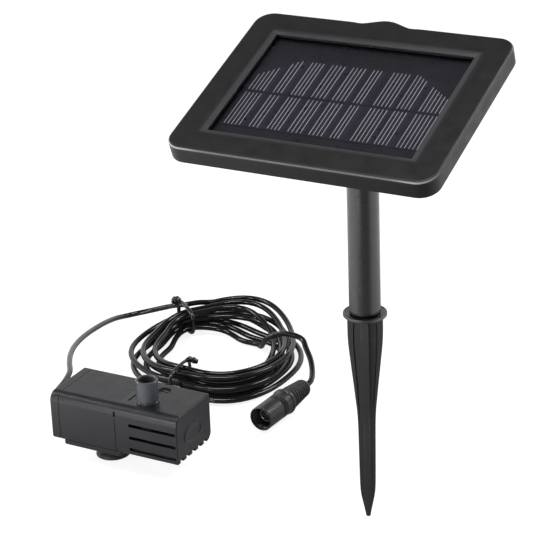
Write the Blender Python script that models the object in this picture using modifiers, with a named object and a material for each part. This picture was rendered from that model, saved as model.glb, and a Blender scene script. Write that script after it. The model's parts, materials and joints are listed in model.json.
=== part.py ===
# Solar fountain pump: a tilting solar panel on a ground stake, and a submersible
# pump whose coiled cable ends in a screwed waterproof connector.
# Units are metres; the dimensions below are in millimetres and go through MM.
# The origin is the blunt tip of the ground stake, +Z is up and +X runs along the
# panel's long side and along the pump. Angles named _DEG are in degrees.
import math

import bmesh
import bpy
import numpy as np
from mathutils import Vector

MM = 0.001
GAP = 0.3                    # clearance between neighbouring pieces
HALF_GAP = GAP/2
QUARTER = math.pi/2

# ---- stake and post
STAKE_TOP = 138.9            # top face of the stake's flange
STAKE_TURN = math.radians(22.5)
FLANGE_R = 13.25
FLANGE_UNDER = STAKE_TOP-2.4
TUBE_R = 9.5
TUBE_BORE = 8.0
SPIGOT_R = TUBE_BORE-GAP
TUBE_TOP = 251.4

# ---- tilt joint
PIVOT_Z = 265.9              # height of the panel's tilt axis
TILT = math.radians(20.87)   # panel's slope at rest
BOLT_R = 2.5
PIVOT_HOLE_R = BOLT_R+GAP
TANG_R = 7.0
TANG_HALF = 3.0              # half the tang's thickness
EAR_IN = TANG_HALF+GAP       # an ear's faces, measured from the tang's middle
EAR_OUT = 6.8
EAR_R = 6.6

# ---- panel, in its own frame: x long side, y up the slope, z out of the glass
PANEL_W = 165.0
PANEL_D = 129.6
PANEL_T = 11.1
PANEL_R = 11.0               # corner radius
WALL = 2.4
WINDOW_W = 126.0
WINDOW_D = 91.2
PIVOT_U, PIVOT_V, PIVOT_N = 2.27, 14.51, -22.63    # tilt axis in the panel's frame
HUMP_H = 4.2                 # grip bump on the upper edge
HUMP_HALF = 16.0
SHEET_HALF_W, SHEET_HALF_D = 66.5, 49.5            # clear sheet and backing board
SCREW_R = 1.5
SCREW_HOLE_R = SCREW_R+GAP
SCREW_X, SCREW_Y = 74.0, 56.5
SCREW_PLACES = [(sx*SCREW_X, sy*SCREW_Y) for sx, sy in ((1, 1), (-1, 1), (-1, -1), (1, -1))]
SOCKET_BOX_Y = 51.0

# ---- pump
PUMP_X0, PUMP_X1 = -224.0, -126.4    # rear end and front end
PUMP_Y = 3.55                # centre line
PUMP_W = 42.9
PUMP_Z0, PUMP_Z1 = 14.7, 47.7
PUMP_H = PUMP_Z1-PUMP_Z0
ROTOR_Z = 31.85              # height of the rotor's axis
CAP_X = -216.85              # seam between rear cap and housing
SEAM_X = -173.45             # seam between housing and intake cover
VOLUTE_R = 13.3
NOZZLE_X, NOZZLE_Y = -156.9, -1.9    # outlet nozzle, off the centre line
NOZZLE_TOP = 63.5
NOZZLE_R = 7.4
TONGUE_R = 8.6               # round end of the tongue that carries the nozzle
REGULATOR_X, REGULATOR_Y = -155.0, 15.75
CUP_X = -190.4
SHAFT_R = 1.2
SHAFT_HOLE_R = SHAFT_R+GAP
MAGNET_BORE = 3.4
BUSH_R = MAGNET_BORE-GAP
# (corner radius, least radius when inset): +Y bottom, +Y top, -Y top, -Y bottom
PUMP_CORNERS = [(6.0, 0.8), (2.4, 0.8), (6.5, 1.0), (2.2, 0.8)]

# ---- connector: centre of its mouth, and its heading in the XY plane
CONNECTOR_START = (-115.0, 70.9, 9.6)
CONNECTOR_ANGLE = math.radians(86.1)
CONNECTOR_LEN = 57.0

# ---- cable coil
COIL_X, COIL_Y = -201.7, 158.0
CABLE_R = 2.0
TIE_R = 1.1
TIE_1_DEG, TIE_2_DEG = 141.0, -86.0
COIL_START, COIL_END = 0.06, 8.225   # in turns from the first tie
POINTS_PER_TURN = 16
CURVE_STEPS = 2              # steps between the points of the cable's ends
STEP_1, STEP_2 = 2.05, 4.95  # turns at which the cable drops one layer
LAYER_H = 4.75
# (turn, offset from the bundle's middle in units of its spread)
OFFSETS = [(0.0, 5.2), (STEP_1, -5.8), (2.4, -7.2), (STEP_2, 6.6), (5.25, 8.6), (COIL_END, -8.9)]
# bundle radius and spread every 30 degrees, from -180
BUNDLE_RADIUS = [48.5, 49.5, 50.5, 53.5, 58.5, 58.5, 54.5, 52.0, 51.0, 54.0, 58.5, 55.5]
BUNDLE_SPREAD = [1.45, 1.60, 1.50, 1.35, 1.35, 1.25, 1.15, 1.15, 1.30, 1.55, 1.35, 1.05]
# bump tables below: (height, centre in degrees, width in radians)
# a layer's sideways wander: wave (height, waves per turn, phase), then its bumps
WANDER_BOTTOM = ((2.0, 2, -0.9), [(-8.5, 80, 0.45), (8.0, -50, 0.55), (3.0, 10, 0.5)])
WANDER_MIDDLE = ((-1.6, 3, 1.1), [(1.5, 180, 0.6), (5.0, 97, 0.45), (3.5, -45, 0.6)])
WANDER_TOP = ((1.6, 2, 0.7), [(-2.0, 200, 0.5), (15.0, 97, 0.42), (3.0, -50, 0.5)])
# share of the wander that each tie holds back
TIE_HOLD = [(0.92, TIE_1_DEG, 0.30), (0.85, TIE_2_DEG, 0.28)]
# rise of the whole bundle over each tie
TIE_LIFT = [(3.0, TIE_1_DEG, 0.42), (2.9, TIE_2_DEG, 0.42)]
# extra layer height where the bundle is loose
PUFF = [(0.50, 93, 0.6), (0.25, -40, 0.7), (0.10, 185, 0.5)]

for old in list(bpy.data.objects):
    bpy.data.objects.remove(old, do_unlink=True)

PARTS = bpy.data.collections.new("solar_fountain_pump")
CUTTERS = bpy.data.collections.new("cutters")
bpy.context.scene.collection.children.link(PARTS)
bpy.context.scene.collection.children.link(CUTTERS)


# ---- materials -------------------------------------------------------------------
def material(name, colour, roughness, metallic=0.0):
    mat = bpy.data.materials.new(name)
    mat.use_nodes = True
    shader = mat.node_tree.nodes["Principled BSDF"]
    shader.inputs["Base Color"].default_value = (*colour, 1.0)
    shader.inputs["Roughness"].default_value = roughness
    shader.inputs["Metallic"].default_value = metallic
    mat.diffuse_color = (*colour, 1.0)
    return mat


FRAME_MAT = material("panel_plastic", colour=(0.030, 0.031, 0.033), roughness=0.48)
STAKE_MAT = material("stake_plastic", colour=(0.026, 0.026, 0.027), roughness=0.42)
TUBE_MAT = material("post_paint", colour=(0.040, 0.041, 0.045), roughness=0.35)
PUMP_MAT = material("pump_plastic", colour=(0.075, 0.075, 0.080), roughness=0.50)
CABLE_MAT = material("cable_pvc", colour=(0.012, 0.012, 0.014), roughness=0.25)
RUBBER = material("black_rubber", colour=(0.018, 0.018, 0.019), roughness=0.65)
CELL_MAT = material("solar_cell", colour=(0.022, 0.020, 0.040), roughness=0.20)
BOARD_MAT = material("circuit_board", colour=(0.012, 0.012, 0.016), roughness=0.35)
SHEET_MAT = material("clear_sheet", colour=(0.020, 0.020, 0.028), roughness=0.08)
STEEL = material("steel", colour=(0.60, 0.60, 0.61), roughness=0.28, metallic=1.0)
COPPER = material("copper_wire", colour=(0.72, 0.35, 0.18), roughness=0.35, metallic=1.0)
LAMINATION = material("lamination_steel", colour=(0.30, 0.30, 0.31), roughness=0.45,
                      metallic=1.0)
FERRITE = material("ferrite", colour=(0.05, 0.05, 0.055), roughness=0.55)
IMPELLER_MAT = material("impeller_plastic", colour=(0.55, 0.56, 0.57), roughness=0.45)
CERAMIC = material("ceramic", colour=(0.85, 0.84, 0.80), roughness=0.20)
BUSH_MAT = material("bush_plastic", colour=(0.62, 0.55, 0.42), roughness=0.45)
RED = material("red_insulation", colour=(0.45, 0.02, 0.02), roughness=0.40)
BLACK = material("black_insulation", colour=(0.01, 0.01, 0.01), roughness=0.40)


# ---- bodies: one empty on each joint's axis ----------------------------------------
def attach(ob, body):
    "parents ob to body without moving it"
    bpy.context.view_layer.update()
    ob.parent = body
    ob.matrix_parent_inverse = body.matrix_world.inverted()


def empty(name, place, body=None):
    ob = bpy.data.objects.new(name, None)
    PARTS.objects.link(ob)
    ob.location = Vector(place)*MM
    if body is not None:
        attach(ob, body)
    bpy.context.view_layer.update()
    return ob


POST = empty("axis_post", (0, 0, STAKE_TOP))
PANEL = empty("axis_panel", (0, 0, PIVOT_Z), POST)
KNOB = empty("axis_knob", (0, 0, PIVOT_Z), PANEL)
PUMP = empty("axis_pump_set", (PUMP_X0, PUMP_Y, 0))
COVER = empty("axis_intake_cover", (SEAM_X, PUMP_Y, ROTOR_Z), PUMP)
REGULATOR = empty("axis_regulator", (REGULATOR_X, REGULATOR_Y, PUMP_Z1), COVER)
ROTOR = empty("axis_rotor", (SEAM_X, PUMP_Y, ROTOR_Z), PUMP)
NUT = empty("axis_coupling_nut", CONNECTOR_START, PUMP)


# ---- frames a piece is drawn in ------------------------------------------------------
def frame(place, rx=0.0, ry=0.0, rz=0.0):
    return (Vector(place)*MM, (rx, ry, rz))


ALONG_U = Vector((1, 0, 0))
ALONG_V = Vector((0, math.cos(TILT), math.sin(TILT)))
ALONG_N = Vector((0, -math.sin(TILT), math.cos(TILT)))
PANEL_ORIGIN = Vector((0, 0, PIVOT_Z)) - ALONG_U*PIVOT_U - ALONG_V*PIVOT_V - ALONG_N*PIVOT_N


def on_panel(u, v, n=0.0, rx=TILT):
    "frame at a point given in the panel's own axes"
    return frame(PANEL_ORIGIN + ALONG_U*u + ALONG_V*v + ALONG_N*n, rx=rx)


def section(x):
    "the drawing's x and y lie along +Y and +Z, and it is extruded along +X"
    return frame((x, 0, 0), rx=QUARTER, rz=QUARTER)


WORLD = frame((0, 0, 0))
ON_PANEL = on_panel(0, 0)
SOCKET_FRAME = on_panel(0, 62.0, -18.6, rx=TILT-QUARTER)   # drawing's z up the slope
# in these two the drawing's z points along +X
PIVOT_FRAME = frame((0, 0, PIVOT_Z), ry=QUARTER)
ROTOR_FRAME = frame((0, PUMP_Y, ROTOR_Z), ry=QUARTER)
NOZZLE_FRAME = frame((NOZZLE_X, NOZZLE_Y, 0))
REGULATOR_FRAME = frame((REGULATOR_X, REGULATOR_Y, 0))
CUP_FRAME = frame((CUP_X, PUMP_Y, 0))
# the drawing's z falls from the connector's mouth towards the cable
CONNECTOR_FRAME = frame(CONNECTOR_START, rx=QUARTER, rz=CONNECTOR_ANGLE-QUARTER)


# ---- shapes: one without a material is a hidden helper for booleans --------------------
def link(ob, where, mat, body):
    if mat is None:
        CUTTERS.objects.link(ob)
        ob.hide_render = True
        ob.display_type = 'WIRE'
    else:
        PARTS.objects.link(ob)
        ob.data.materials.clear()
        ob.data.materials.append(mat)
    ob.location, ob.rotation_euler = where
    if body is not None:
        attach(ob, body)
    return ob


def mesh_object(name, bm):
    mesh = bpy.data.meshes.new(name)
    bm.normal_update()
    bm.to_mesh(mesh)
    bm.free()
    return bpy.data.objects.new(name, mesh)


def block(name, size, centre, where=WORLD, mat=None, body=None, top_scale=(1.0, 1.0)):
    bm = bmesh.new()
    bmesh.ops.create_cube(bm, size=1.0)
    for v in bm.verts:
        scale = (1.0, 1.0) if v.co.z < 0 else top_scale
        v.co = Vector((v.co.x*size[0]*scale[0]+centre[0],
                       v.co.y*size[1]*scale[1]+centre[1],
                       v.co.z*size[2]+centre[2]))*MM
    return link(mesh_object(name, bm), where, mat, body)


def rod(name, radius, z0, z1, where, mat=None, body=None, segments=12, centre=(0, 0),
        top_radius=None):
    if top_radius is None:
        top_radius = radius
    bm = bmesh.new()
    bmesh.ops.create_cone(bm, cap_ends=True, segments=segments, radius1=radius*MM,
                          radius2=top_radius*MM, depth=(z1-z0)*MM)
    for v in bm.verts:
        v.co += Vector((centre[0], centre[1], 0.5*(z0+z1)))*MM
    ob = mesh_object(name, bm)
    ob.data.shade_smooth()
    ob.data.set_sharp_from_angle(angle=math.radians(35))
    return link(ob, where, mat, body)


def turned(name, profile, where, mat=None, body=None, segments=18, ring=False):
    "turns a profile of (radius, height) pairs; ring closes the profile on itself"
    mesh = bpy.data.meshes.new(name)
    verts = [(radius*MM, 0.0, height*MM) for radius, height in profile]
    edges = [(i, i+1) for i in range(len(verts)-1)]
    if ring:
        edges.append((len(verts)-1, 0))
    mesh.from_pydata(verts, edges, [])
    ob = link(bpy.data.objects.new(name, mesh), where, mat, body)
    screw = ob.modifiers.new("turn", 'SCREW')
    screw.axis = 'Z'
    screw.angle = 2*math.pi
    screw.steps = segments
    screw.render_steps = segments
    screw.use_merge_vertices = True
    screw.merge_threshold = 0.00001
    screw.use_smooth_shade = True
    return ob


def add_spline(curve, points, cyclic):
    spline = curve.splines.new('POLY')
    spline.points.add(len(points)-1)
    for target, (x, y, z) in zip(spline.points, points):
        target.co = (x*MM, y*MM, z*MM, 1.0)
    spline.use_cyclic_u = cyclic
    return spline


def plate(name, outline, z0, z1, where, mat=None, body=None):
    "flat outline between heights z0 and z1 of its drawing, as a welded mesh"
    curve = bpy.data.curves.new(name+"_outline", 'CURVE')
    curve.dimensions = '2D'
    curve.fill_mode = 'BOTH'
    curve.extrude = 0.5*(z1-z0)*MM
    add_spline(curve, [(x, y, 0.0) for x, y in outline], cyclic=True)
    temporary = bpy.data.objects.new(name+"_outline", curve)
    CUTTERS.objects.link(temporary)
    bpy.context.view_layer.update()
    depsgraph = bpy.context.evaluated_depsgraph_get()
    mesh = bpy.data.meshes.new_from_object(temporary.evaluated_get(depsgraph))
    bpy.data.objects.remove(temporary, do_unlink=True)
    bm = bmesh.new()
    bm.from_mesh(mesh)
    bmesh.ops.remove_doubles(bm, verts=bm.verts, dist=0.000001)
    bmesh.ops.recalc_face_normals(bm, faces=bm.faces)
    for v in bm.verts:
        v.co.z += 0.5*(z0+z1)*MM
    return link(mesh_object(name, bm), where, mat, body)


def wire(name, points, radius, where, mat, body, resolution=1, cyclic=False):
    curve = bpy.data.curves.new(name, 'CURVE')
    curve.dimensions = '3D'
    curve.bevel_depth = radius*MM
    curve.bevel_resolution = resolution
    curve.use_fill_caps = not cyclic
    add_spline(curve, points, cyclic).use_smooth = True
    return link(bpy.data.objects.new(name, curve), where, mat, body)


def boolean(ob, operation, others):
    for other in others:
        mod = ob.modifiers.new(operation.lower(), 'BOOLEAN')
        mod.operation = operation
        mod.object = other
        mod.solver = 'EXACT'


def cut(ob, *others):
    boolean(ob, 'DIFFERENCE', others)


def join(ob, *others):
    boolean(ob, 'UNION', others)


def round_edges(ob, width, segments, angle):
    mod = ob.modifiers.new("round", 'BEVEL')
    mod.width = width*MM
    mod.segments = segments
    mod.limit_method = 'ANGLE'
    mod.angle_limit = math.radians(angle)


# ---- outlines ------------------------------------------------------------------------
def arc(cx, cy, radius, start, sweep, steps):
    "points on an arc; angles in degrees, both ends included"
    angles = [math.radians(start + sweep*i/steps) for i in range(steps+1)]
    return [(cx+radius*math.cos(a), cy+radius*math.sin(a)) for a in angles]


def rounded(half_x, half_y, radii, steps=5, cx=0.0, cy=0.0):
    "rounded rectangle; one radius, or lower right, upper right, upper left, lower left"
    if not isinstance(radii, (tuple, list)):
        radii = (radii,)*4
    corners = [(1, -1, -90), (1, 1, 0), (-1, 1, 90), (-1, -1, 180)]
    points = []
    for (sx, sy, start), radius in zip(corners, radii):
        points += arc(cx+sx*(half_x-radius), cy+sy*(half_y-radius), radius, start, 90.0, steps)
    return points


def panel_outline():
    "rounded rectangle with the grip bump in its upper edge"
    corner_steps, bump_steps = 6, 10
    corners = rounded(PANEL_W/2, PANEL_D/2, PANEL_R, corner_steps)
    bump = []
    for j in range(bump_steps+1):
        x = HUMP_HALF - 2*HUMP_HALF*j/bump_steps
        bump.append((x, PANEL_D/2+HUMP_H*0.5*(1+math.cos(math.pi*x/HUMP_HALF))))
    split = 2*(corner_steps+1)          # after the upper right corner
    return corners[:split] + bump + corners[split:]


def pump_section(inset=0.0):
    radii = [max(radius-inset, least) for radius, least in PUMP_CORNERS]
    return rounded(PUMP_W/2-inset, PUMP_H/2-inset, radii, 4, PUMP_Y, 0.5*(PUMP_Z0+PUMP_Z1))


def nozzle_outline(radius, x0):
    "strip from x0 to a round end about the nozzle's axis"
    end = arc(NOZZLE_X, NOZZLE_Y, radius, -90, 180, 8)
    return [(x0, NOZZLE_Y-radius)] + end + [(x0, NOZZLE_Y+radius)]


# ==== stake and post ====================================================================
# (height, width) down a rib
RIB_WIDTHS = [
    (136.9, 21.3), (126.7, 21.3), (113.5, 19.8), (86.8, 14.1), (73.5, 11.5), (66.4, 10.8),
    (24.0, 9.7), (17.5, 9.2), (10.8, 6.6), (5.0, 4.3), (2.0, 3.0)]
LIP_Z0 = 60.0                # the ribs' thickened edges lie above this


def ground_stake():
    "spigot, flange and four tapering ribs with thickened outer edges"
    profile = [
        (0, 165.0), (6.9, 165.0), (SPIGOT_R, 163.6), (SPIGOT_R, STAKE_TOP),
        (FLANGE_R-0.6, STAKE_TOP), (FLANGE_R, STAKE_TOP-0.6), (FLANGE_R, STAKE_TOP-1.9),
        (FLANGE_R-0.5, FLANGE_UNDER), (10.7, FLANGE_UNDER), (10.7, STAKE_TOP-5.6),
        (2.6, STAKE_TOP-6.2), (2.0, 60.0), (1.9, 20.0), (3.0, 10.0), (1.9, 5.0), (1.5, 0.0),
        (0, 0)]
    stake = turned("ground_stake", profile, frame((0, 0, 0), rz=STAKE_TURN), STAKE_MAT,
                   segments=20)
    upright = [frame((0, 0, 0), rx=QUARTER, rz=STAKE_TURN+turn) for turn in (0, QUARTER)]
    edge = [(width/2, z) for z, width in RIB_WIDTHS]
    rib = edge + [(-x, z) for x, z in reversed(edge)]
    for letter, where in zip("ab", upright):
        join(stake, plate("rib_"+letter, rib, -1.15, 1.15, where))
    lip = [(width/2-0.05, z) for z, width in RIB_WIDTHS if z > LIP_Z0]
    lip += [(max(width/2-3.6*(z-LIP_Z0)/77.0-0.25, 1.0), z)
            for z, width in reversed(RIB_WIDTHS) if z > LIP_Z0]
    for k, where in enumerate(upright):
        for side, number in ((1, 1), (-1, 0)):
            loop = [(side*x, z) for x, z in lip]
            join(stake, plate("lip_%d_%d" % (k, number), loop, -2.3, 2.3, where))


def post_tube():
    bottom = STAKE_TOP+GAP
    profile = [(TUBE_BORE, TUBE_TOP), (TUBE_R-0.2, TUBE_TOP), (TUBE_R, TUBE_TOP-0.3),
               (TUBE_R, bottom+0.4), (TUBE_R-0.3, bottom), (TUBE_BORE, bottom)]
    turned("post_tube", profile, WORLD, TUBE_MAT, POST, segments=24, ring=True)


def post_head():
    "plug in the tube's top, with the drilled tang that the panel tilts on"
    profile = [
        (0, TUBE_TOP+4.2), (8.3, TUBE_TOP+4.2), (TUBE_R, TUBE_TOP+3.0), (TUBE_R, TUBE_TOP+GAP),
        (SPIGOT_R, TUBE_TOP+GAP), (SPIGOT_R, 234.0), (7.0, 233.0), (0, 233.0)]
    head = turned("post_head", profile, WORLD, STAKE_MAT, POST, segments=20)
    web_z0 = TUBE_TOP+3.6
    join(head,
         rod("tang_round", TANG_R, -TANG_HALF, TANG_HALF, PIVOT_FRAME, segments=18),
         block("tang_web", (2*TANG_HALF, 2*TANG_R, PIVOT_Z-web_z0),
               (0, 0, 0.5*(PIVOT_Z+web_z0))))
    cut(head, rod("tang_hole", PIVOT_HOLE_R, -5.0, 5.0, PIVOT_FRAME))


# ==== panel head ========================================================================
def panel_bezel():
    bezel = plate("panel_bezel", panel_outline(), -PANEL_T, 0.0, ON_PANEL, FRAME_MAT, PANEL)
    round_edges(bezel, 1.5, 2, 50)
    inside = rounded(PANEL_W/2-WALL, PANEL_D/2-WALL, PANEL_R-WALL)
    cut(bezel, plate("bezel_cavity", inside, -PANEL_T-1.0, -3.0, ON_PANEL))
    for k, place in enumerate(SCREW_PLACES):
        join(bezel, rod("screw_post_%d" % k, 3.6, -9.0, -2.5, ON_PANEL, centre=place))
    splay_scale = ((WINDOW_W+20.0)/WINDOW_W, (WINDOW_D+13.4)/WINDOW_D)
    cut(bezel,
        block("bezel_window", (WINDOW_W, WINDOW_D, 4.0), (0, 0, -2.6), ON_PANEL),
        block("bezel_splay", (WINDOW_W, WINDOW_D, 2.4), (0, 0, -0.2), ON_PANEL,
              top_scale=splay_scale))
    for k, place in enumerate(SCREW_PLACES):
        cut(bezel, rod("screw_pilot_%d" % k, SCREW_HOLE_R, -10.0, -3.6, ON_PANEL, centre=place))


def clear_sheet_and_board():
    "the two sheets above and below the cells"
    outline = rounded(SHEET_HALF_W, SHEET_HALF_D, 1.5, 2)
    plate("clear_sheet", outline, -4.5, -3.3, ON_PANEL, SHEET_MAT, PANEL)
    plate("backing_board", outline, -7.0, -5.5, ON_PANEL, BOARD_MAT, PANEL)


def cell_rows():
    "the upper row has chamfered upper corners"
    left, right = -60.3, 60.9
    bottom, top = -3.0, 28.6
    upper = [(left, bottom), (right, bottom), (right, top-17.5), (right-24.5, top),
             (left+21.5, top), (left, top-17.0)]
    bottom, top = -34.6, -4.2
    lower = [(left, bottom), (right, bottom), (right, top), (left, top)]
    for name, outline in (("cell_row_upper", upper), ("cell_row_lower", lower)):
        plate(name, outline, -5.2, -4.8, ON_PANEL, CELL_MAT, PANEL)


def ear_plate(name, u0, u1):
    "drawn with x up the slope and y out of the panel, then turned into the panel's axes"
    root = -10.2
    outline = [(PIVOT_V-11.0, root)] + arc(PIVOT_V, PIVOT_N, EAR_R, 180, 180, 12)
    outline.append((PIVOT_V+11.0, root))
    ear = plate(name, outline, u0, u1, ON_PANEL)
    for v in ear.data.vertices:
        x, y, z = v.co
        v.co = (z, x, y)
    return ear


def back_cover():
    "cover with two ears and the socket box"
    inset = WALL+GAP
    outline = rounded(PANEL_W/2-inset, PANEL_D/2-inset, PANEL_R-inset)
    cover = plate("back_cover", outline, -PANEL_T, -9.3, ON_PANEL, FRAME_MAT, PANEL)
    join(cover,
         ear_plate("ear_left", PIVOT_U-EAR_OUT, PIVOT_U-EAR_IN),
         ear_plate("ear_right", PIVOT_U+EAR_IN, PIVOT_U+EAR_OUT),
         block("socket_box", (22.0, 21.0, 14.0), (0, SOCKET_BOX_Y, -17.6), ON_PANEL))
    cut(cover,
        block("socket_room", (18.0, 17.0, 16.2), (0, SOCKET_BOX_Y, -14.7), ON_PANEL),
        rod("ear_hole", PIVOT_HOLE_R, -9.0, 9.0, PIVOT_FRAME),
        rod("socket_hole", 4.0, -4.0, 4.0, SOCKET_FRAME, segments=14))
    for k, place in enumerate(SCREW_PLACES):
        cut(cover, rod("screw_hole_%d" % k, SCREW_HOLE_R, -13.0, -8.0, ON_PANEL, centre=place))


def cover_screws():
    seat = -PANEL_T-GAP
    profile = [(0, -3.9), (SCREW_R, -3.9), (SCREW_R, seat), (2.9, seat), (2.9, -PANEL_T-1.2),
               (2.1, -PANEL_T-1.9), (0, -PANEL_T-1.9)]
    for k, (x, y) in enumerate(SCREW_PLACES):
        turned("cover_screw_%d" % (k+1), profile, on_panel(x, y), STEEL, PANEL, segments=12)


def dc_socket():
    """Sized for the cable's connector: the skirt takes the coupling nut, the post goes
    inside the contact sleeve and the tube takes the contact pin."""
    shell = [(5.75, 11.0), (6.8, 11.0), (7.05, 10.7), (7.05, -0.2), (3.7, -0.2), (3.7, -10.0),
             (1.8, -10.0), (1.8, 10.6), (3.8, 10.6), (3.8, 1.6), (5.75, 1.6)]
    turned("dc_socket_shell", shell, SOCKET_FRAME, PUMP_MAT, PANEL, ring=True)
    contact = [(1.15, 10.0), (1.6, 10.0), (1.6, -11.0), (1.15, -11.0)]
    turned("dc_socket_contact", contact, SOCKET_FRAME, STEEL, PANEL, segments=12, ring=True)


def socket_leads():
    # (x, y, z) in the panel's frame; the negative lead mirrors x
    path = [(9.0, 22.0, -8.1), (8.5, 34.0, -8.1), (7.5, 43.5, -8.2), (6.6, 46.2, -9.6),
            (5.6, 48.2, -13.0), (3.2, 49.6, -17.0)]
    for name, side, mat in (("positive_lead", 1, RED), ("negative_lead", -1, BLACK)):
        points = [(side*x, y, z) for x, y, z in path]
        wire(name, points, 0.6, ON_PANEL, mat, PANEL, resolution=2)


def tilt_bolt():
    head = -EAR_OUT-GAP
    profile = [(0, 15.2), (2.1, 15.2), (BOLT_R, 14.8), (BOLT_R, head), (4.4, head),
               (4.6, -7.5), (4.6, -10.2), (4.2, -10.6), (0, -10.6)]
    turned("tilt_bolt", profile, PIVOT_FRAME, STEEL, PANEL, segments=12)


def tilt_knob():
    face = EAR_OUT+GAP
    profile = [(0, 16.4), (5.4, 16.4), (6.0, 15.8), (6.4, 7.6), (6.2, face), (0, face)]
    knob = turned("tilt_knob", profile, PIVOT_FRAME, STAKE_MAT, KNOB, segments=20)
    join(knob, block("knob_wing", (8.0, 17.6, 3.2), (0, 0, 11.8), PIVOT_FRAME))
    cut(knob, rod("knob_bore", PIVOT_HOLE_R, 6.0, 15.5, PIVOT_FRAME))


# ==== pump ==============================================================================
def trim_block(name, x):
    "block that clears one side of a seam"
    return block(name, (8.0, PUMP_W+10.0, PUMP_H+10.0), (x, PUMP_Y, ROTOR_Z))


def motor_housing():
    housing = plate("motor_housing", pump_section(), 0.0, SEAM_X-CAP_X-GAP,
                    section(CAP_X+HALF_GAP), PUMP_MAT, PUMP)
    round_edges(housing, 0.35, 1, 60)
    cut(housing, plate("housing_cavity", pump_section(2.2), -1.0, SEAM_X-6.2-CAP_X,
                       section(CAP_X)))
    join(housing, rod("rotor_well", 9.0, -208.2, SEAM_X-5.0, ROTOR_FRAME, segments=18))
    groove = [(VOLUTE_R, SEAM_X+1), (VOLUTE_R, SEAM_X-1.65), (11.3, SEAM_X-1.65),
              (11.3, SEAM_X+1)]
    cut(housing,
        rod("rotor_bore", 7.5, -203.2, SEAM_X+2, ROTOR_FRAME, segments=18),
        rod("shaft_seat", SHAFT_HOLE_R, -207.0, -202.0, ROTOR_FRAME),
        turned("o_ring_groove", groove, ROTOR_FRAME, ring=True),
        block("seam_notch", (1.0, 1.2, 3.0), (SEAM_X+0.1, PUMP_Y-PUMP_W/2+0.2, PUMP_Z1-5.4)))


def rear_cap():
    cap = plate("rear_cap", pump_section(), 0.0, CAP_X+3.0-PUMP_X0, section(PUMP_X0),
                PUMP_MAT, PUMP)
    round_edges(cap, 1.7, 2, 60)
    cut(cap,
        trim_block("cap_trim", CAP_X-HALF_GAP+4.0),
        block("cap_cavity", (6.0, PUMP_W-9.0, PUMP_H-9.0), (CAP_X-1.6, PUMP_Y, ROTOR_Z)),
        rod("cap_hole", 4.3, PUMP_X0-1, CAP_X, ROTOR_FRAME, segments=14))


def cable_grommet():
    profile = [(2.3, -219.9), (5.4, -219.9), (5.4, -220.3), (4.0, -220.9), (4.0, -224.3),
               (5.2, -224.3), (5.0, -227.2), (3.6, -231.6), (2.3, -231.6)]
    turned("cable_grommet", profile, ROTOR_FRAME, RUBBER, PUMP, segments=14, ring=True)


def stator():
    core = [(9.4, -187.4), (13.1, -187.4), (13.1, -198.9), (9.4, -198.9)]
    turned("stator_core", core, ROTOR_FRAME, LAMINATION, PUMP, ring=True)
    # (radius, distance along X from the winding's station)
    winding = [(9.5, 2.2), (10.1, 2.9), (12.1, 2.9), (12.8, 2.2), (12.8, -2.4), (12.1, -3.1),
               (10.1, -3.1), (9.5, -2.4)]
    for name, x in (("stator_winding_front", -183.9), ("stator_winding_rear", -202.4)):
        turned(name, [(radius, x+dx) for radius, dx in winding], ROTOR_FRAME, COPPER, PUMP,
               ring=True)


def driver_board():
    block("driver_board", (1.4, 34.0, 22.0), (-210.6, PUMP_Y, ROTOR_Z), WORLD, BOARD_MAT, PUMP)


def rotor_shaft():
    rod("rotor_shaft", SHAFT_R, -206.6, -155.6, ROTOR_FRAME, CERAMIC, PUMP)


def volute_cover():
    "open-fronted chamber with the outlet nozzle on a tongue"
    seam = SEAM_X+HALF_GAP
    profile = [(11.4, -151.7), (4.5, -151.7), (4.5, -149.7), (12.2, -149.7),
               (VOLUTE_R, -150.8), (VOLUTE_R, seam), (11.4, seam)]
    volute = turned("volute_cover", profile, ROTOR_FRAME, PUMP_MAT, PUMP, segments=20,
                    ring=True)
    lip_z = NOZZLE_TOP-0.9
    join(volute,
         rod("nozzle_neck", NOZZLE_R, ROTOR_Z+10.4, lip_z, NOZZLE_FRAME, segments=20),
         rod("nozzle_lip", NOZZLE_R, lip_z, NOZZLE_TOP, NOZZLE_FRAME, segments=20,
             top_radius=6.6),
         plate("nozzle_tongue", nozzle_outline(TONGUE_R, seam), PUMP_Z1-2.0, PUMP_Z1, WORLD))
    cut(volute, rod("nozzle_bore", 5.5, ROTOR_Z+8.0, NOZZLE_TOP+1, NOZZLE_FRAME, segments=18))


def volute_o_ring():
    ring = arc(PUMP_Y, ROTOR_Z, 12.3, 0, 360, 28)[:-1]
    points = [(SEAM_X-0.75, y, z) for y, z in ring]
    wire("volute_o_ring", points, 0.72, WORLD, RUBBER, PUMP, cyclic=True)


def rotor_magnet():
    profile = [(MAGNET_BORE, -179.5), (6.3, -179.5), (6.7, -179.9), (6.7, -201.1),
               (6.3, -201.5), (MAGNET_BORE, -201.5)]
    turned("rotor_magnet", profile, ROTOR_FRAME, FERRITE, ROTOR, ring=True)


def rotor_bushes():
    for name, x in (("rotor_bush_front", -179.0), ("rotor_bush_rear", -196.0)):
        profile = [(SHAFT_HOLE_R, x), (BUSH_R, x), (BUSH_R, x-6.0), (SHAFT_HOLE_R, x-6.0)]
        turned(name, profile, ROTOR_FRAME, BUSH_MAT, ROTOR, segments=12, ring=True)


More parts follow.
